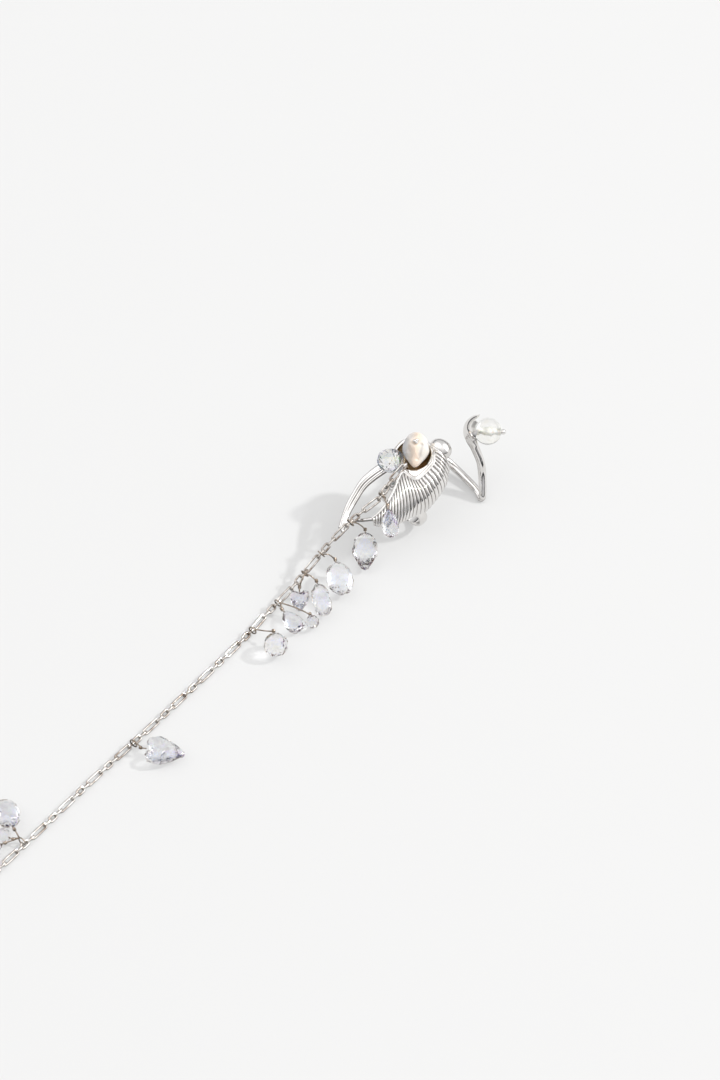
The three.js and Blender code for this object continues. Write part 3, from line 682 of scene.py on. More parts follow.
# low bar, elbow and riser, up to the cup
arm = {
    "low": [(13.4, 0.8, 16.4), (15.6, 3.4, 13.5), (17.4, 5.2, 10.5), (19.0, 6.2, 7.2), (20.3, 5.9, 4.6),
            (21.0, 4.2, 3.0), (21.3, 2.0, 2.2), (21.2, -0.9, 1.75), (20.8, -6, 1.1), (19.7, -9.3, 0.8)],
    "riser": [(19.62, -9.6, 0.55), (21.1, -8.2, 3.4), (22.4, -6.7, 6.4), (23.2, -5.2, 9.8),
              (23.5, -2.7, 13.4), (23.7, -0.8, 15.6), (24.2, 0.1, 16.9)],
    "lowWide": (0.88, 0.7), "lowHigh": (1.25, 1.0625), "elbow": 0.75, "elbowAt": (19.6, -9.35, 0.76),
    "riserWide": [(0, 0.75), (0.02, 1.05), (0.06, 1.22), (0.2, 1.3), (0.6, 1.34), (0.78, 1.5),
                  (0.9, 1.9), (1, 0.9)],
    "riserDeep": [(0, 0.5), (0.02, 0.75), (0.06, 0.95), (0.5, 1.05), (0.78, 1.15), (0.9, 1.4), (1, 0.7)],
    # painted shade towards the underside: strength, and the facing where it starts
    "paintedShade": (0.6, -0.35),
}


def makeArm():
    low = SmoothPath([toRing(*p) for p in arm["low"]])
    riser = SmoothPath([toRing(*p) for p in arm["riser"]])
    lowBar = sweepBar("lowBar", low, lambda s: mix(*arm["lowWide"], s), lambda s: mix(*arm["lowHigh"], s),
                      (1, 0, 0), 24, 110, 0.9)
    riserBar = sweepBar("riserBar", riser, lambda s: sampleTable(arm["riserWide"], s),
                        lambda s: sampleTable(arm["riserDeep"], s), (1, 0, 0), 32, 90)
    elbow = newShape("elbow", bpy.ops.mesh.primitive_ico_sphere_add,
                     Matrix.Translation(toRing(*arm["elbowAt"])), subdivisions=3, radius=arm["elbow"])
    finishFrame(joinPieces("frontArm", [lowBar, riserBar, elbow]), paintedShade=arm["paintedShade"])


makeArm()


# claw cup and the round pearl in it
tipPearl = {
    "centre": (27.8, -3.3, 17.2), "radius": 3.75, "clear": 0.12, "dimple": 0.45, "dimpleWide": 0.62,
    "tube": 0.75, "tubeShare": 1.72,
}
cup = {
    "from": (24.5, 0.3, 17.2), "back": -6.75, "round": 4.55, "middle": -2.2, "around": 220, "steps": 40,
    "wallBack": 1.3, "wallRim": 0.5, "vein": 0.09,
    "veins": (-52, -34, -17, -1, 14), "veinWide": 3.6, "flare": 0.35,
}
cupRim = [  # angle about the axis, place of the rim along it, and how far the tip leans round
    (-175, -2.9, 0), (-158, -1.9, 0), (-140, -3.4, 0), (-115, -4.3, 0), (-88, -2.9, 0), (-62, -2.4, 0),
    (-40, -3.4, 0), (-15, -4.0, 0), (4, -3.6, 0), (10, -3.1, 12), (15, -2.6, 24), (20, -1.9, 44),
    (24, -2.7, 29), (27, -3.5, 13), (31, -4.4, 2), (41, -5.1, 0), (57, -5.4, 0), (73, -4.9, 0),
    (86, -3.9, 0), (96, -3.0, 0), (103, -2.3, 4), (110, -3.0, 0), (122, -4.0, 0), (142, -4.5, 0),
    (165, -3.8, 0), (185, -2.9, 0),
]
pearlCentre = toRing(*tipPearl["centre"])
cupAxis = (pearlCentre - toRing(*cup["from"])).normalized()
cupPlace = Matrix.Translation(pearlCentre) @ turnTo((0, 1, 0), cupAxis)
rimPath = SmoothPath(cupRim, 12)


def cupPoint(s, a):
    turned, rim, lean = rimPath.at(a)
    inner = s > 0.5
    t = 2 * min(s, 1 - s)
    y = cup["back"] + (rim - cup["back"]) * (1 - math.cos(t * math.pi / 2)) ** 0.9
    drop = (cup["middle"] - y) / cup["round"]
    r = cup["round"] * math.sqrt(max(1 - drop * drop, 0)) if drop > 0 else cup["round"] - 0.3 * drop * drop
    angle = turned + lean * smoothStep((y + 4.4) / 2.5)
    if inner:
        wall = mix(cup["wallBack"], cup["wallRim"], smoothStep(t))
        length = max(math.hypot(r, y - cup["middle"]), 1)
        r, y = r * (1 - wall / length), cup["middle"] + (y - cup["middle"]) * (1 - wall / length)
        reach = math.hypot(r, y)
        seat = tipPearl["radius"] + tipPearl["clear"]
        if reach < seat:
            r, y = r * seat / reach, y * seat / reach
    else:
        slant = angle + 9 * (y + 5.5)
        groove = sum(math.exp(-((slant - line) / cup["veinWide"]) ** 2) for line in cup["veins"])
        r -= cup["vein"] * groove * smoothStep((y + 6.6) / 0.5) * (1 - smoothStep((y + 4.9) / 0.8))
    r += cup["flare"] * smoothStep((y + 3.1) / 1.2)
    angle = math.radians(angle)
    return Vector((r * math.cos(angle), y, r * math.sin(angle)))


def makeCup():
    claw = sweep("clawCup", cup["steps"] * 2, cup["around"], cupPoint, capped=False)
    finishFrame(claw, 55, ringToWorld @ cupPlace)


makeCup()


def makeTipPearl():
    # a milky glass pearl, drilled through, with a pale tube round its pin
    ball = newShape("roundPearl", bpy.ops.mesh.primitive_uv_sphere_add, segments=64, ring_count=40,
                    radius=tipPearl["radius"], rotation=(-math.pi / 2, 0, 0))
    for vertex in ball.data.vertices:  # a dimple where the pin goes through
        away = math.hypot(vertex.co.x, vertex.co.z)
        vertex.co.y -= math.copysign(tipPearl["dimple"] * math.exp(-(away / tipPearl["dimpleWide"]) ** 2),
                                     vertex.co.y)
    tube = newShape("pearlTube", bpy.ops.mesh.primitive_cylinder_add, vertices=40, radius=tipPearl["tube"],
                    depth=tipPearl["radius"] * tipPearl["tubeShare"], rotation=(math.pi / 2, 0, 0))
    bpy.ops.object.mode_set(mode="EDIT")
    bpy.ops.mesh.select_all(action="SELECT")
    bpy.ops.mesh.subdivide(number_cuts=9)
    bpy.ops.object.mode_set(mode="OBJECT")
    for vertex in tube.data.vertices:  # the drilled core narrows and swells
        x, y, z = vertex.co
        swell = 1 + 0.22 * math.sin(2.3 * y + 1.1) + 0.16 * math.sin(5.1 * y + 2 * math.atan2(z, x))
        vertex.co = (x * swell, y, z * swell)
    for piece, finish in ((ball, glassPearl), (tube, whitePearl)):
        bake(piece, ringToWorld @ cupPlace)
        smoothShade(piece, 60)
        finishPiece(piece, finish, ["tip_pearl"])


makeTipPearl()


# headed pins through both pearls
pin = {
    "shank": 0.3, "head": 0.75, "proud": 0.45, "worn": 0.05, "beadShare": 0.56, "beadOut": 0.5,
    "collarShare": 0.72, "collarWire": 0.12,
}


def makePin(name, head, foot, radius, lobes, nodes):
    # a shank with a small cast head: a ring of beads, or one ball on a collar
    axis = (head - foot).normalized()
    turn = turnTo((0, 0, 1), axis)
    shank = newShape("shank", bpy.ops.mesh.primitive_cylinder_add, vertices=16, radius=pin["shank"],
                     depth=(head - foot).length)
    bpy.ops.object.mode_set(mode="EDIT")
    bpy.ops.mesh.select_all(action="SELECT")
    bpy.ops.mesh.bevel(offset=pin["worn"], segments=2)
    bpy.ops.object.mode_set(mode="OBJECT")
    bake(shank, Matrix.Translation(head.lerp(foot, 0.5)) @ turn)
    pieces = [shank]
    out = radius * pin["beadOut"]
    for i in range(lobes):
        angle = 2 * math.pi * i / lobes
        aside = Matrix.Translation((math.cos(angle) * out, math.sin(angle) * out, 0))
        pieces.append(newShape("bead", bpy.ops.mesh.primitive_ico_sphere_add,
                               Matrix.Translation(head) @ turn @ aside,
                               subdivisions=3, radius=radius * pin["beadShare"]))
    if not lobes:
        pieces.append(newShape("ball", bpy.ops.mesh.primitive_uv_sphere_add, Matrix.Translation(head),
                               segments=32, ring_count=20, radius=radius))
        down = radius * pin["collarShare"]
        pieces.append(newShape("collar", bpy.ops.mesh.primitive_torus_add,
                               Matrix.Translation(head - axis * down) @ turn, major_radius=down,
                               minor_radius=pin["collarWire"], major_segments=32, minor_segments=10))
    piece = joinPieces(name, pieces)
    bake(piece, ringToWorld)
    smoothShade(piece, 50)
    finishPiece(piece, silver, nodes)


baroquePin = {"top": (11.2, 3.6, 14.35), "foot": (10.0, 4.0, 7.6)}
makePin("roundPearlPin", pearlCentre + cupAxis * (tipPearl["radius"] + pin["proud"]),
        pearlCentre - cupAxis * (tipPearl["radius"] + 0.1), pin["head"], 0, ["tip_pin"])
makePin("baroquePearlPin", Vector(baroquePin["top"]), Vector(baroquePin["foot"]), pin["head"] * 1.1, 3,
        ["baroque_pin"])


# the folds are long furrows: two ends, depth and width; a negative depth swells
baroque = {
    "centre": (10.3, 3.7, 10.7), "long": 10.094, "wide": 7.56, "thick": 6.996, "axis": (0.72, 0.62, 0.12),
    "litSide": (0.45, -0.85, 0.1), "taper": 0.42, "dimple": 0.07, "dimpleWide": 0.9,
    "folds": [(1.9, 0.2, 0.8, -3.0, 0.55, 0.62), (2.5, 1.4, 1.9, -1.6, -0.22, 0.7),
              (-2.7, 1.6, -1.4, -1.2, 0.3, 0.55)],
    "flats": [((0.55, -0.25, 0.8), 0.455), ((-0.75, 0.1, 0.65), 0.45), ((-0.2, 0.75, 0.63), 0.462),
              ((0.85, 0.2, 0.1), 0.462), ((0.1, -0.7, 0.7), 0.465), ((-0.3, -0.3, 0.9), 0.463)],
}


def makeBaroque():
    turn = turnTo((0, 1, 0), baroque["axis"])
    pearl = newShape("baroquePearl", bpy.ops.mesh.primitive_ico_sphere_add, subdivisions=6, radius=0.5)
    flats = [(Vector(n).normalized(), d) for n, d in baroque["flats"]]
    for vertex in pearl.data.vertices:
        p = vertex.co.copy()
        for normal, depth in flats:  # soft flats and the low ridges between them
            over = p.dot(normal) - depth
            if over > 0:
                p -= normal * over * 0.92
        x, y, z = p
        narrow = 1 - baroque["taper"] * smoothStep((-y + 0.05) / 0.55)
        lump = 1 + 0.05 * math.sin(5 * x + 3 * y) * math.cos(4 * z)
        ridge = 1 + 0.035 * math.sin(9 * y + 4 * x) * math.sin(7 * x - 2 * z)
        x = x * baroque["wide"] * narrow * lump * ridge
        y = y * baroque["long"]
        z = z * baroque["thick"] * narrow * lump * ridge
        for x0, y0, x1, y1, deep, wide in baroque["folds"]:
            dx, dy = x1 - x0, y1 - y0
            t = min(max(((x - x0) * dx + (y - y0) * dy) / (dx ** 2 + dy ** 2), 0), 1)
            away = math.hypot(x - mix(x0, x1, t), y - mix(y0, y1, t))
            z -= deep * math.exp(-(away / wide) ** 2) * smoothStep(z / 1.5)
        vertex.co = Vector((x, y, z))
    pinTop = turn.inverted() @ (Vector(baroquePin["top"]) - Vector(baroque["centre"]))
    for vertex in pearl.data.vertices:  # a dimple under the pin's head
        away = (vertex.co - pinTop).length
        vertex.co *= 1 - baroque["dimple"] * math.exp(-(away / baroque["dimpleWide"]) ** 2)
    bake(pearl, ringToWorld @ Matrix.Translation(Vector(baroque["centre"])) @ turn)
    smoothShade(pearl)
    # painted shade and highlight: points facing the lit side are pushed up the tone ramp
    litFlank = pearl.data.attributes.new("litFlank", "FLOAT", "POINT")
    centre = sum((v.co for v in pearl.data.vertices), Vector()) / len(pearl.data.vertices)
    for i, vertex in enumerate(pearl.data.vertices):
        way = (vertex.co - centre).normalized()
        litFlank.data[i].value = 0.5 + 0.5 * way.dot(Vector(baroque["litSide"]).normalized())
    finishPiece(pearl, creamPearl, ["baroque_pearl"])


makeBaroque()
print("cup, pearls and pins made")


facetCut = {"wornEdge": 0.03, "smallest": 0.12}  # mm, and the area in mm2 under which a face is an edge


def cutFacets(stone, chance):
    # turns the rows of quads into crisp facets with fine worn edges, each facet with its own share of
    # painted shade
    onlySelect(stone)
    bpy.ops.object.mode_set(mode="EDIT")
    bpy.ops.mesh.select_all(action="SELECT")
    bpy.ops.mesh.quads_convert_to_tris(quad_method="SHORTEST_DIAGONAL", ngon_method="BEAUTY")
    bpy.ops.mesh.normals_make_consistent(inside=False)
    bpy.ops.mesh.bevel(offset=facetCut["wornEdge"], segments=1)
    bpy.ops.object.mode_set(mode="OBJECT")
    tone = stone.data.attributes.new("facetShade", "FLOAT", "FACE")
    for i, polygon in enumerate(stone.data.polygons):
        tone.data[i].value = chance.random() ** 2 if polygon.area > facetCut["smallest"] else 0
    return stone


rondelle = {
    "centre": (3.9, 7.0, 10.0), "axis": (0.49, 0.3, 0.82), "radius": 4.0, "half": 3.0,
    "sides": 15, "rows": 8, "uneven": 0.09, "flat": 0.94,
}


def makeRondelle():
    # a flattened ball of rows of triangular facets, with a small flat at each end of its hole
    turn = turnTo((0, 0, 1), rondelle["axis"])
    chance = random.Random(7)
    stone = newShape("crystalRondelle", bpy.ops.mesh.primitive_uv_sphere_add,
                     segments=rondelle["sides"], ring_count=rondelle["rows"] + 1, radius=1)
    for vertex in stone.data.vertices:
        x, y, z = vertex.co
        row = round((1 - math.acos(min(max(z, -1), 1)) / math.pi) * (rondelle["rows"] + 1))
        r = math.hypot(x, y) ** 0.8 * (1 - rondelle["uneven"] * chance.random())
        angle = math.atan2(y, x) + math.pi / rondelle["sides"] * (row % 2)
        vertex.co = (r * rondelle["radius"] * math.cos(angle), r * rondelle["radius"] * math.sin(angle),
                     max(min(z, rondelle["flat"]), -rondelle["flat"]) * rondelle["half"])
    cutFacets(stone, chance)
    bake(stone, ringToWorld @ Matrix.Translation(Vector(rondelle["centre"])) @ turn)
    finishPiece(stone, rondelleCrystal, ["crystal_rondelle"])


makeRondelle()


# ridged leg of four strands, and the plain stem beside it
backLoop = {
    "leg": [(3.4, 8.4, 7.2), (1.2, 8.8, 7.2), (-1.6, 9.4, 6.9), (-5.0, 9.7, 6.5),
            (-9.1, 8.8, 6.2), (-12.9, 7.6, 6.0), (-16.3, 5.9, 6.0), (-19.0, 4.3, 6.0)],
    "stem": [(-10.8, -1.2, 7.2), (-12.7, 1.2, 6.6), (-14.9, 3.7, 6.1), (-17.2, 5.2, 6.0)],
    "strands": [  # place across at the seat and at the far end, then half width at each
        (0.72, 1.05, 0.92, 0.46), (-0.22, 0.35, 0.4, 0.34), (-0.88, -0.55, 0.42, 0.4),
        (-1.4, -1.05, 0.3, 0.3),
    ],
    # painted shade towards the underside: strength, and the facing where it starts
    "paintedShade": (0.85, 0.15),
}


def makeBackLoop():
    pieces = []
    for near, far, wideNear, wideFar in backLoop["strands"]:
        points = []
        for i, (x, y, z) in enumerate(backLoop["leg"]):
            t = i / (len(backLoop["leg"]) - 1)
            spread = mix(near, far, t) * mix(1.0, 0.7, smoothStep((t - 0.6) / 0.4))
            points.append(Vector((x + spread * 0.35, y + spread, z - 0.12 * spread * spread)))
        wide = lambda s, a=wideNear, b=wideFar: mix(a, b, smoothStep(s / 0.55))
        high = lambda s: mix(0.52, 0.4, s)
        pieces.append(sweepBar("strand", SmoothPath(points), wide, high, (0, 0, 1), 16, 80))
    thin = lambda s: mix(0.55, 0.42, s)
    pieces.append(sweepBar("stem", SmoothPath(backLoop["stem"]), thin, thin, (0, 0, 1), 14, 40))
    finishFrame(joinPieces("backLoop", pieces), paintedShade=backLoop["paintedShade"])


makeBackLoop()
print("hoop, arm and back loop made")


# three small links, then one long link, and a small ring at the end
link = {"long": 6.15, "small": 3.1, "width": 1.8, "wire": 0.5, "smallStep": 2.2}
chain = {"lead": 2.5, "start": -2.3, "repeats": 15, "touch": 0.15, "leanIn": 35.0, "leanOut": -55.0,
         # painted shade towards the underside: strength, and the facing where it starts
         "paintedShade": (0.9, -0.15), "ring": 0.8, "ringWire": 0.5}
visibleWire = {"long": 0.56, "small": 0.6}
chainRoute = SmoothPath([
    (5.2, 2.4, 19.7), (2.7, 2.2, 19.5), (-0.6, 2.6, 18.3), (-3.6, 2.8, 17.0), (-8.1, 2.5, 15.3),
    (-12.0, 3.6, 13.8), (-15.9, 4.5, 12.7), (-19.8, 5.1, 11.5), (-24.4, 6.2, 8.9), (-30.6, 7.1, 5.6),
    (-39.6, 7.5, 2.6), (-50.7, 7.8, 1.0), (-58.0, 7.3, 0.8), (-77.3, 7.0, 0.8), (-99.1, 7.0, 0.8),
    (-122.1, 7.4, 0.8), (-146.4, 7.2, 0.8), (-180.0, 7.4, 0.8),
])
longToSmall = (link["long"] + link["small"]) / 2 - 2 * link["wire"] - chain["touch"]
period = 2 * longToSmall + 2 * link["smallStep"]


def runCentre(index):
    return chain["start"] + index * period


def linkFrame(distance, roll):
    share = (distance + chain["lead"]) / chainRoute.total
    tangent = chainRoute.tangent(share)
    side = tangent.cross(Vector((0, 0, 1))).normalized()
    top = side.cross(tangent)
    across = side * math.cos(math.radians(roll)) + top * math.sin(math.radians(roll))
    normal = tangent.cross(across)
    place = Matrix((tangent, across, normal)).transposed().to_4x4()
    place.translation = chainRoute.at(share)
    return place, tangent, across


def makeLink(name, kind, place):
    length, wire = link[kind], visibleWire[kind]
    radius = (link["width"] - link["wire"]) / 2
    straight = (length - link["width"]) / 2
    piece = newShape(name, bpy.ops.mesh.primitive_torus_add, major_radius=radius, minor_radius=wire / 2,
                     major_segments=24, minor_segments=10)
    for vertex in piece.data.vertices:
        if abs(vertex.co.x) > 1e-5:
            vertex.co.x += math.copysign(straight, vertex.co.x)
    bake(piece, partToWorld @ place)
    for vertex in piece.data.vertices:  # rests on the floor
        vertex.co.z = max(vertex.co.z, 0)
    return piece


def makeChain():
    for i in range(1, chain["repeats"] + 1):
        label = f"{i:02d}"
        place = linkFrame(runCentre(i - 0.5), chain["leanIn"])[0]
        long = smoothShade(makeLink("longLink" + label, "long", place))
        shadeUnderside(long, *chain["paintedShade"])
        finishPiece(long, chainMetal, ["chain_link_" + label])
        smalls = []
        for step in (-1, 0, 1):
            roll = chain["leanIn"] if step == 0 else chain["leanOut"]
            place = linkFrame(runCentre(i) + step * link["smallStep"], roll)[0]
            smalls.append(makeLink("smallLink", "small", place))
        run = smoothShade(joinPieces("smallRun" + label, smalls))
        shadeUnderside(run, *chain["paintedShade"])
        finishPiece(run, chainMetal, ["chain_run_" + label])
    reach = link["small"] / 2 + chain["ring"] - 1.5 * link["wire"] - chain["touch"]
    place = linkFrame(runCentre(chain["repeats"]) + link["smallStep"] + reach, chain["leanIn"])[0]
    ring = newShape("chainEndRing", bpy.ops.mesh.primitive_torus_add, partToWorld @ place,
                    major_radius=chain["ring"], minor_radius=chain["ringWire"] / 2,
                    major_segments=28, minor_segments=10)
    smoothShade(ring)
    shadeUnderside(ring, *chain["paintedShade"])
    finishPiece(ring, chainMetal, ["end_ring"])


makeChain()


def makeEar():
    # ring on a short post in the mouth, which holds the first long link
    radius = (link["width"] - link["wire"]) / 2
    reach = (link["long"] - link["wire"]) / 2 + radius - link["wire"] - chain["touch"]
    place, tangent, _ = linkFrame(runCentre(0.5), chain["leanOut"])
    centre = place.translation - tangent * reach
    place.translation = centre
    loop = newShape("loop", bpy.ops.mesh.primitive_torus_add, partToWorld @ place, major_radius=radius,
                    minor_radius=link["wire"] / 2, major_segments=28, minor_segments=10)
    inRing = (seatInPart @ ringInSeat).inverted()
    top = inRing @ (centre - tangent * radius)
    foot = Vector((top.x, top.y, 7.2))
    thick = lambda s: mix(0.3, 0.42, s)
    post = sweepBar("post", SmoothPath([top, top.lerp(foot, 0.5), foot]), thick, thick, (1, 0, 0), 12, 12)
    bake(post, ringToWorld)
    finishFrame(joinPieces("chainEar", [loop, post]), place=Matrix.Identity(4))


makeEar()
print("chain made")


# one row for each stone; the hook is the number of the run that it hangs from
dropColumns = ("cut", "x", "y", "z", "heading", "pitch", "size", "hook", "sides", "rows")
dropRows = [
    ("pear", -12.9, -4.9, 14.6, 230, -40, (8.2, 5.2, 3.0), 1, 9, 8),
    ("fancy", -18.2, -0.6, 4.4, 219, -32, (10.4, 7.4, 4.8), 2, 11, 9),
    ("round", -29.5, -0.9, 3.9, 231, -12, (10.0, 7.6, 5.2), 3, 14, 11),
    ("long", -38.1, -1.6, 3.5, 232, -10, (10.2, 5.4, 4.8), 4, 13, 13),
    ("heart", -41.3, 3.3, 2.3, 219, -6, (7.2, 6.0, 3.2), 4, 16, 9),
    ("ball", -44.8, -4.0, 2.15, 232, 0, (4.0, 4.0, 4.0), 5, 11, 8),
    ("pear", -48.0, 0.4, 2.15, 254, -4, (8.0, 6.0, 3.6), 5, 12, 9),
    ("ball", -58.0, -2.3, 3.7, 228, -10, (7.0, 7.0, 6.8), 6, 15, 12),
    ("heart", -103.9, -2.0, 2.5, 300, -3, (11.2, 9.6, 4.4), 10, 20, 12),
    ("round", -146.2, 16.2, 2.7, 60, -3, (9.6, 7.2, 5.0), 14, 14, 10),
    ("ball", -151.9, 12.7, 2.2, 105, 0, (4.2, 4.2, 4.2), 14, 11, 8),
    ("pear", -157.2, 12.2, 2.1, 158, -3, (6.6, 4.4, 3.6), 14, 11, 8),
]
drops = [dict(zip(dropColumns, row)) for row in dropRows]
cutOutlines = {
    "pear": [(0, -0.5), (0.3, -0.46), (0.46, -0.28), (0.5, -0.08), (0.36, 0.2), (0.16, 0.42), (0, 0.5)],
    "fancy": [(0, -0.5), (0.16, -0.46), (0.46, -0.12), (0.5, 0.06), (0.4, 0.34), (0.2, 0.48), (0, 0.5)],
    "round": [(0, -0.5), (0.26, -0.48), (0.46, -0.28), (0.5, 0.02), (0.42, 0.3), (0.18, 0.47), (0, 0.5)],
    "long": [(0, -0.5), (0.3, -0.47), (0.46, -0.34), (0.5, 0), (0.42, 0.32), (0.2, 0.46), (0, 0.5)],
    "heart": [(0, -0.5), (0.1, -0.47), (0.34, -0.2), (0.5, 0.12), (0.44, 0.36), (0.2, 0.48), (0, 0.44)],
    "ball": [(0, -0.5), (0.26, -0.43), (0.44, -0.24), (0.5, 0), (0.44, 0.24), (0.26, 0.43), (0, 0.5)],
}
hookSteps = {1: 1, 2: 1, 3: 1, 4: -1, 5: -1, 6: -1, 10: 1, 14: 0}
hook = {
    # painted shade towards the underside: strength, and the facing where it starts
    "radius": 1.1, "wire": 0.36, "shift": 0.12, "touch": 0.15, "cadWire": 0.4, "paintedShade": (0.8, -0.15),
    "windingRadius": 0.34, "windingWire": 0.3, "windingRise": 0.17, "windingFrom": 0.75,
}


def dropFrame(drop):
    level = math.cos(math.radians(drop["pitch"]))
    axis = Vector((level * math.cos(math.radians(drop["heading"])),
                   level * math.sin(math.radians(drop["heading"])), math.sin(math.radians(drop["pitch"]))))
    side = axis.cross(Vector((0, 0, 1))).normalized()
    face = side.cross(axis)
    place = Matrix((-side, -axis, face)).transposed().to_4x4()
    centre = Vector((drop["x"], drop["y"], drop["z"]))
    place.translation = centre
    return place, centre - axis * drop["size"][0] / 2, axis


stoneCut = {"uneven": 0.1, "cleft": 0.16, "cleftWide": 0.16, "lobe": 0.03}


def outlineAt(cut, t):
    # half width at share t from the far end to the hook end, by length along the outline
    points = cutOutlines[cut]
    lengths = [0.0]
    for (r0, y0), (r1, y1) in zip(points, points[1:]):
        lengths.append(lengths[-1] + math.hypot(r1 - r0, y1 - y0))
    goal = t * lengths[-1]
    for i in range(len(points) - 1):
        if goal <= lengths[i + 1]:
            s = (goal - lengths[i]) / (lengths[i + 1] - lengths[i])
            return mix(points[i][0], points[i + 1][0], s), mix(points[i][1], points[i + 1][1], s)
    return points[-1]


def makeStone(name, drop, number):
    length, width, depth = drop["size"]
    chance = random.Random(number)
    sides, rows = drop["sides"], drop["rows"]
    stone = newShape(name, bpy.ops.mesh.primitive_uv_sphere_add,
                     segments=sides, ring_count=rows + 1, radius=0.5)
    for vertex in stone.data.vertices:
        x, y, z = vertex.co
        t = 1 - math.acos(min(max(z / 0.5, -1), 1)) / math.pi
        row = round(t * (rows + 1))
        r, h = outlineAt(drop["cut"], t)
        angle = math.atan2(y, x)
        if 0 < row < rows + 1:  # every second row is turned by half a facet
            angle += math.pi / sides * (row % 2)
        px, pz = r * math.cos(angle), r * math.sin(angle)
        if drop["cut"] == "heart":  # two lobes with a cleft between them at the hook end
            cleft = math.exp(-(px / stoneCut["cleftWide"]) ** 2) * smoothStep((h + 0.1) / 0.6)
            h -= stoneCut["cleft"] * cleft
            h += stoneCut["lobe"] * (1 - cleft) * smoothStep(h / 0.4)
        if 0 < row < rows + 1:  # hand-cut facets are never quite even
            wobble = [1 - stoneCut["uneven"] * chance.random() for axis in range(3)]
            px, h, pz = px * wobble[0], h * wobble[1], pz * wobble[2]
        vertex.co = Vector((px * width, h * length, pz * depth))
    return cutFacets(stone, chance)


def makeDrops():
    for i, drop in enumerate(drops, 1):
        stone = makeStone(f"crystalDrop{i:02d}", drop, i)
        bake(stone, partToWorld @ dropFrame(drop)[0])
        bpy.context.view_layer.objects.active = stone
        finishPiece(stone, dropCrystal, [f"drop_{i:02d}"])


makeDrops()


def makeHook(index):
    step = hookSteps[index]
    distance = runCentre(index) + step * (link["smallStep"] - hook["shift"])
    place, tangent, across = linkFrame(distance, chain["leanIn"] if step == 0 else chain["leanOut"])
    outward = across * (1 if across.z > 0 else -1)
    centre = place.translation + outward * hook["radius"]
    ringPlace = Matrix((outward, tangent.cross(outward), tangent)).transposed().to_4x4()
    ringPlace.translation = centre
    pieces = [newShape("hookRing", bpy.ops.mesh.primitive_torus_add, ringPlace, major_radius=hook["radius"],
                       minor_radius=hook["wire"] / 2, major_segments=32, minor_segments=10)]
    thick = lambda s: hook["wire"] / 2
    thin = lambda s: hook["windingWire"] / 2
    for drop in [row for row in drops if row["hook"] == index]:
        _, hookEnd, axis = dropFrame(drop)
        start = centre + outward * hook["radius"]
        end = hookEnd - axis * (hook["touch"] + hook["cadWire"] / 2)
        middle = start.lerp(end, 0.5)
        middle.z = max(middle.z, min(start.z, middle.z + 1.2))
        wire = SmoothPath([start, middle, end, end + axis * 1.2])
        pieces.append(sweepBar("wire", wire, thick, thick, (0.3, 0.2, 1), 8, 30))
        # the wire is wound on itself above the stone
        side = axis.cross(Vector((0, 0, 1))).normalized()
        other = side.cross(axis)
        turns = []
        for k in range(33):  # four turns of eight steps
            outwards = side * math.cos(k * math.pi / 4) + other * math.sin(k * math.pi / 4)
            turns.append(end - axis * (hook["windingFrom"] - hook["windingRise"] * k / 8)
                         + outwards * hook["windingRadius"])
        pieces.append(sweepBar("winding", SmoothPath(turns, 4), thin, thin, (0.3, 0.2, 1), 6, 120))
    piece = joinPieces(f"dropHook{index:02d}", pieces)
    bake(piece, partToWorld)
    smoothShade(piece)
    shadeUnderside(piece, *hook["paintedShade"])
    finishPiece(piece, wireMetal, [f"drop_hook_{index:02d}"])


for hookIndex in hookSteps:
    makeHook(hookIndex)
print("drops and hooks made")


# pale studio
studio = {
    "floorTone": (0.33, 0.33, 0.328), "floorGlow": 0.375, "floorSize": 4.0, "world": 0.95,
    "keyAzimuth": -42.0, "keyElevation": 39.5, "keyDistance": 5.0, "keySize": 0.3, "keyPower": 178.0,
}
softBoxes = [  # azimuth, elevation, cosine where it starts and where it is full, brightness
    (-37, 44, 0.88, 0.93, 1.3), (-62, 20, 0.92, 0.96, 1.0), (118, 58, 0.80, 0.92, 0.9),
    (235, 72, 0.88, 0.96, 0.5),
]
view = {"azimuth": 219.18, "elevation": 50.0, "distance": 2.2, "perDot": 0.27 * mm, "tall": 1080,
        "sensor": 24.0, "target": (67.283, -4.398, 7.684), "right": 45.5, "up": 37.3}


def makeFloor():
    floor = newShape("paleFloor", bpy.ops.mesh.primitive_plane_add, size=studio["floorSize"])
    material, tree, shader, coords = newMaterial("paleFloorFinish")
    grain = addNoise(tree, coords, 30, 3)
    tone = studio["floorTone"]
    ramp = addRamp(tree, grain.outputs["Fac"], [(0.3, tuple(v * 0.995 for v in tone)), (0.7, tone)])
    tree.links.new(ramp.outputs["Color"], shader.inputs["Base Color"])
    shader.inputs["Roughness"].default_value = 0.75
    shader.inputs["Specular IOR Level"].default_value = 0.2
    shader.inputs["Emission Color"].default_value = (1, 0.998, 0.99, 1)
    shader.inputs["Emission Strength"].default_value = studio["floorGlow"]
    floor.data.materials.append(material)


def towardsSky(azimuth, elevation):
    azimuth, elevation = math.radians(azimuth), math.radians(elevation)
    level = math.cos(elevation)
    return Vector((level * math.cos(azimuth), level * math.sin(azimuth), math.sin(elevation)))


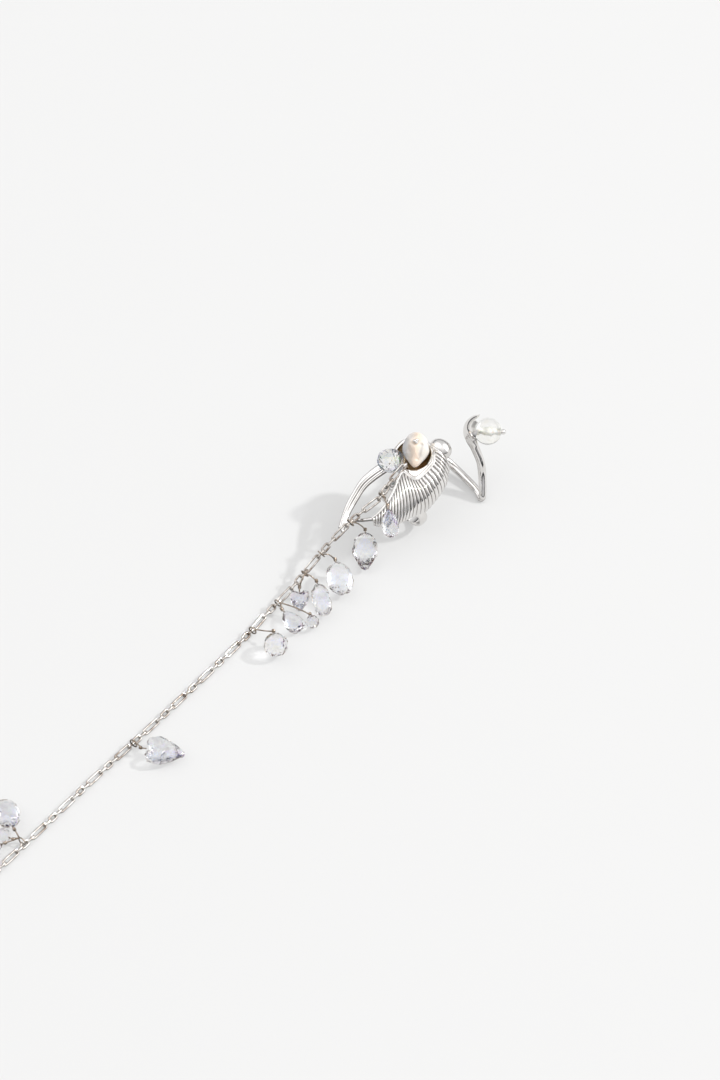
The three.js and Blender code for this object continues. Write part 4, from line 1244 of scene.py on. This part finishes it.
def makeWorld():
    world = bpy.data.worlds.new("paleStudio")
    bpy.context.scene.world = world
    world.use_nodes = True
    tree = world.node_tree
    background = tree.nodes["Background"]
    coords = tree.nodes.new("ShaderNodeTexCoord")
    split = tree.nodes.new("ShaderNodeSeparateXYZ")
    height = addRamp(tree, split.outputs["Z"], [
        (0.0, (0.60, 0.60, 0.60)), (0.02, (0.06, 0.06, 0.065)), (0.11, (0.05, 0.05, 0.055)),
        (0.18, (0.40, 0.40, 0.41)), (0.48, (0.84, 0.84, 0.85)), (1.0, (0.78, 0.78, 0.79)),
    ])
    tree.links.new(coords.outputs["Generated"], split.inputs["Vector"])
    glow = height.outputs["Color"]
    for azimuth, elevation, low, high, strength in softBoxes:
        dot = tree.nodes.new("ShaderNodeVectorMath")
        dot.operation = "DOT_PRODUCT"
        dot.inputs[1].default_value = towardsSky(azimuth, elevation)
        tree.links.new(coords.outputs["Generated"], dot.inputs[0])
        patch = addRamp(tree, dot.outputs["Value"], [(low, (0, 0, 0)), (high, (strength,) * 3)])
        add = tree.nodes.new("ShaderNodeVectorMath")
        tree.links.new(glow, add.inputs[0])
        tree.links.new(patch.outputs["Color"], add.inputs[1])
        glow = add.outputs["Vector"]
    tree.links.new(glow, background.inputs["Color"])
    background.inputs["Strength"].default_value = studio["world"]


def makeKeyLight():
    towards = towardsSky(studio["keyAzimuth"], studio["keyElevation"])
    data = bpy.data.lights.new("keyLight", "AREA")
    data.shape = "DISK"
    data.size = studio["keySize"]
    data.energy = studio["keyPower"]
    light = bpy.data.objects.new("keyLight", data)
    bpy.context.scene.collection.objects.link(light)
    light.location = towards * studio["keyDistance"]
    light.rotation_euler = towards.to_track_quat("Z", "Y").to_euler()


def makeCamera():
    towards = towardsSky(view["azimuth"], view["elevation"])
    right = Vector((0, 0, 1)).cross(towards).normalized()
    up = towards.cross(right)
    target = Vector(view["target"]) * mm - (right * view["right"] + up * view["up"]) * view["perDot"]
    data = bpy.data.cameras.new("camera")
    data.sensor_fit = "VERTICAL"
    data.sensor_height = view["sensor"]
    data.lens = view["sensor"] * view["distance"] / (view["tall"] * view["perDot"])
    data.clip_end = 20
    camera = bpy.data.objects.new("camera", data)
    bpy.context.scene.collection.objects.link(camera)
    camera.location = target + towards * view["distance"]
    camera.rotation_euler = towards.to_track_quat("Z", "Y").to_euler()
    bpy.context.scene.camera = camera
    bpy.context.scene.view_settings.view_transform = "Standard"


makeFloor()
makeWorld()
makeKeyLight()
makeCamera()
print("studio made")
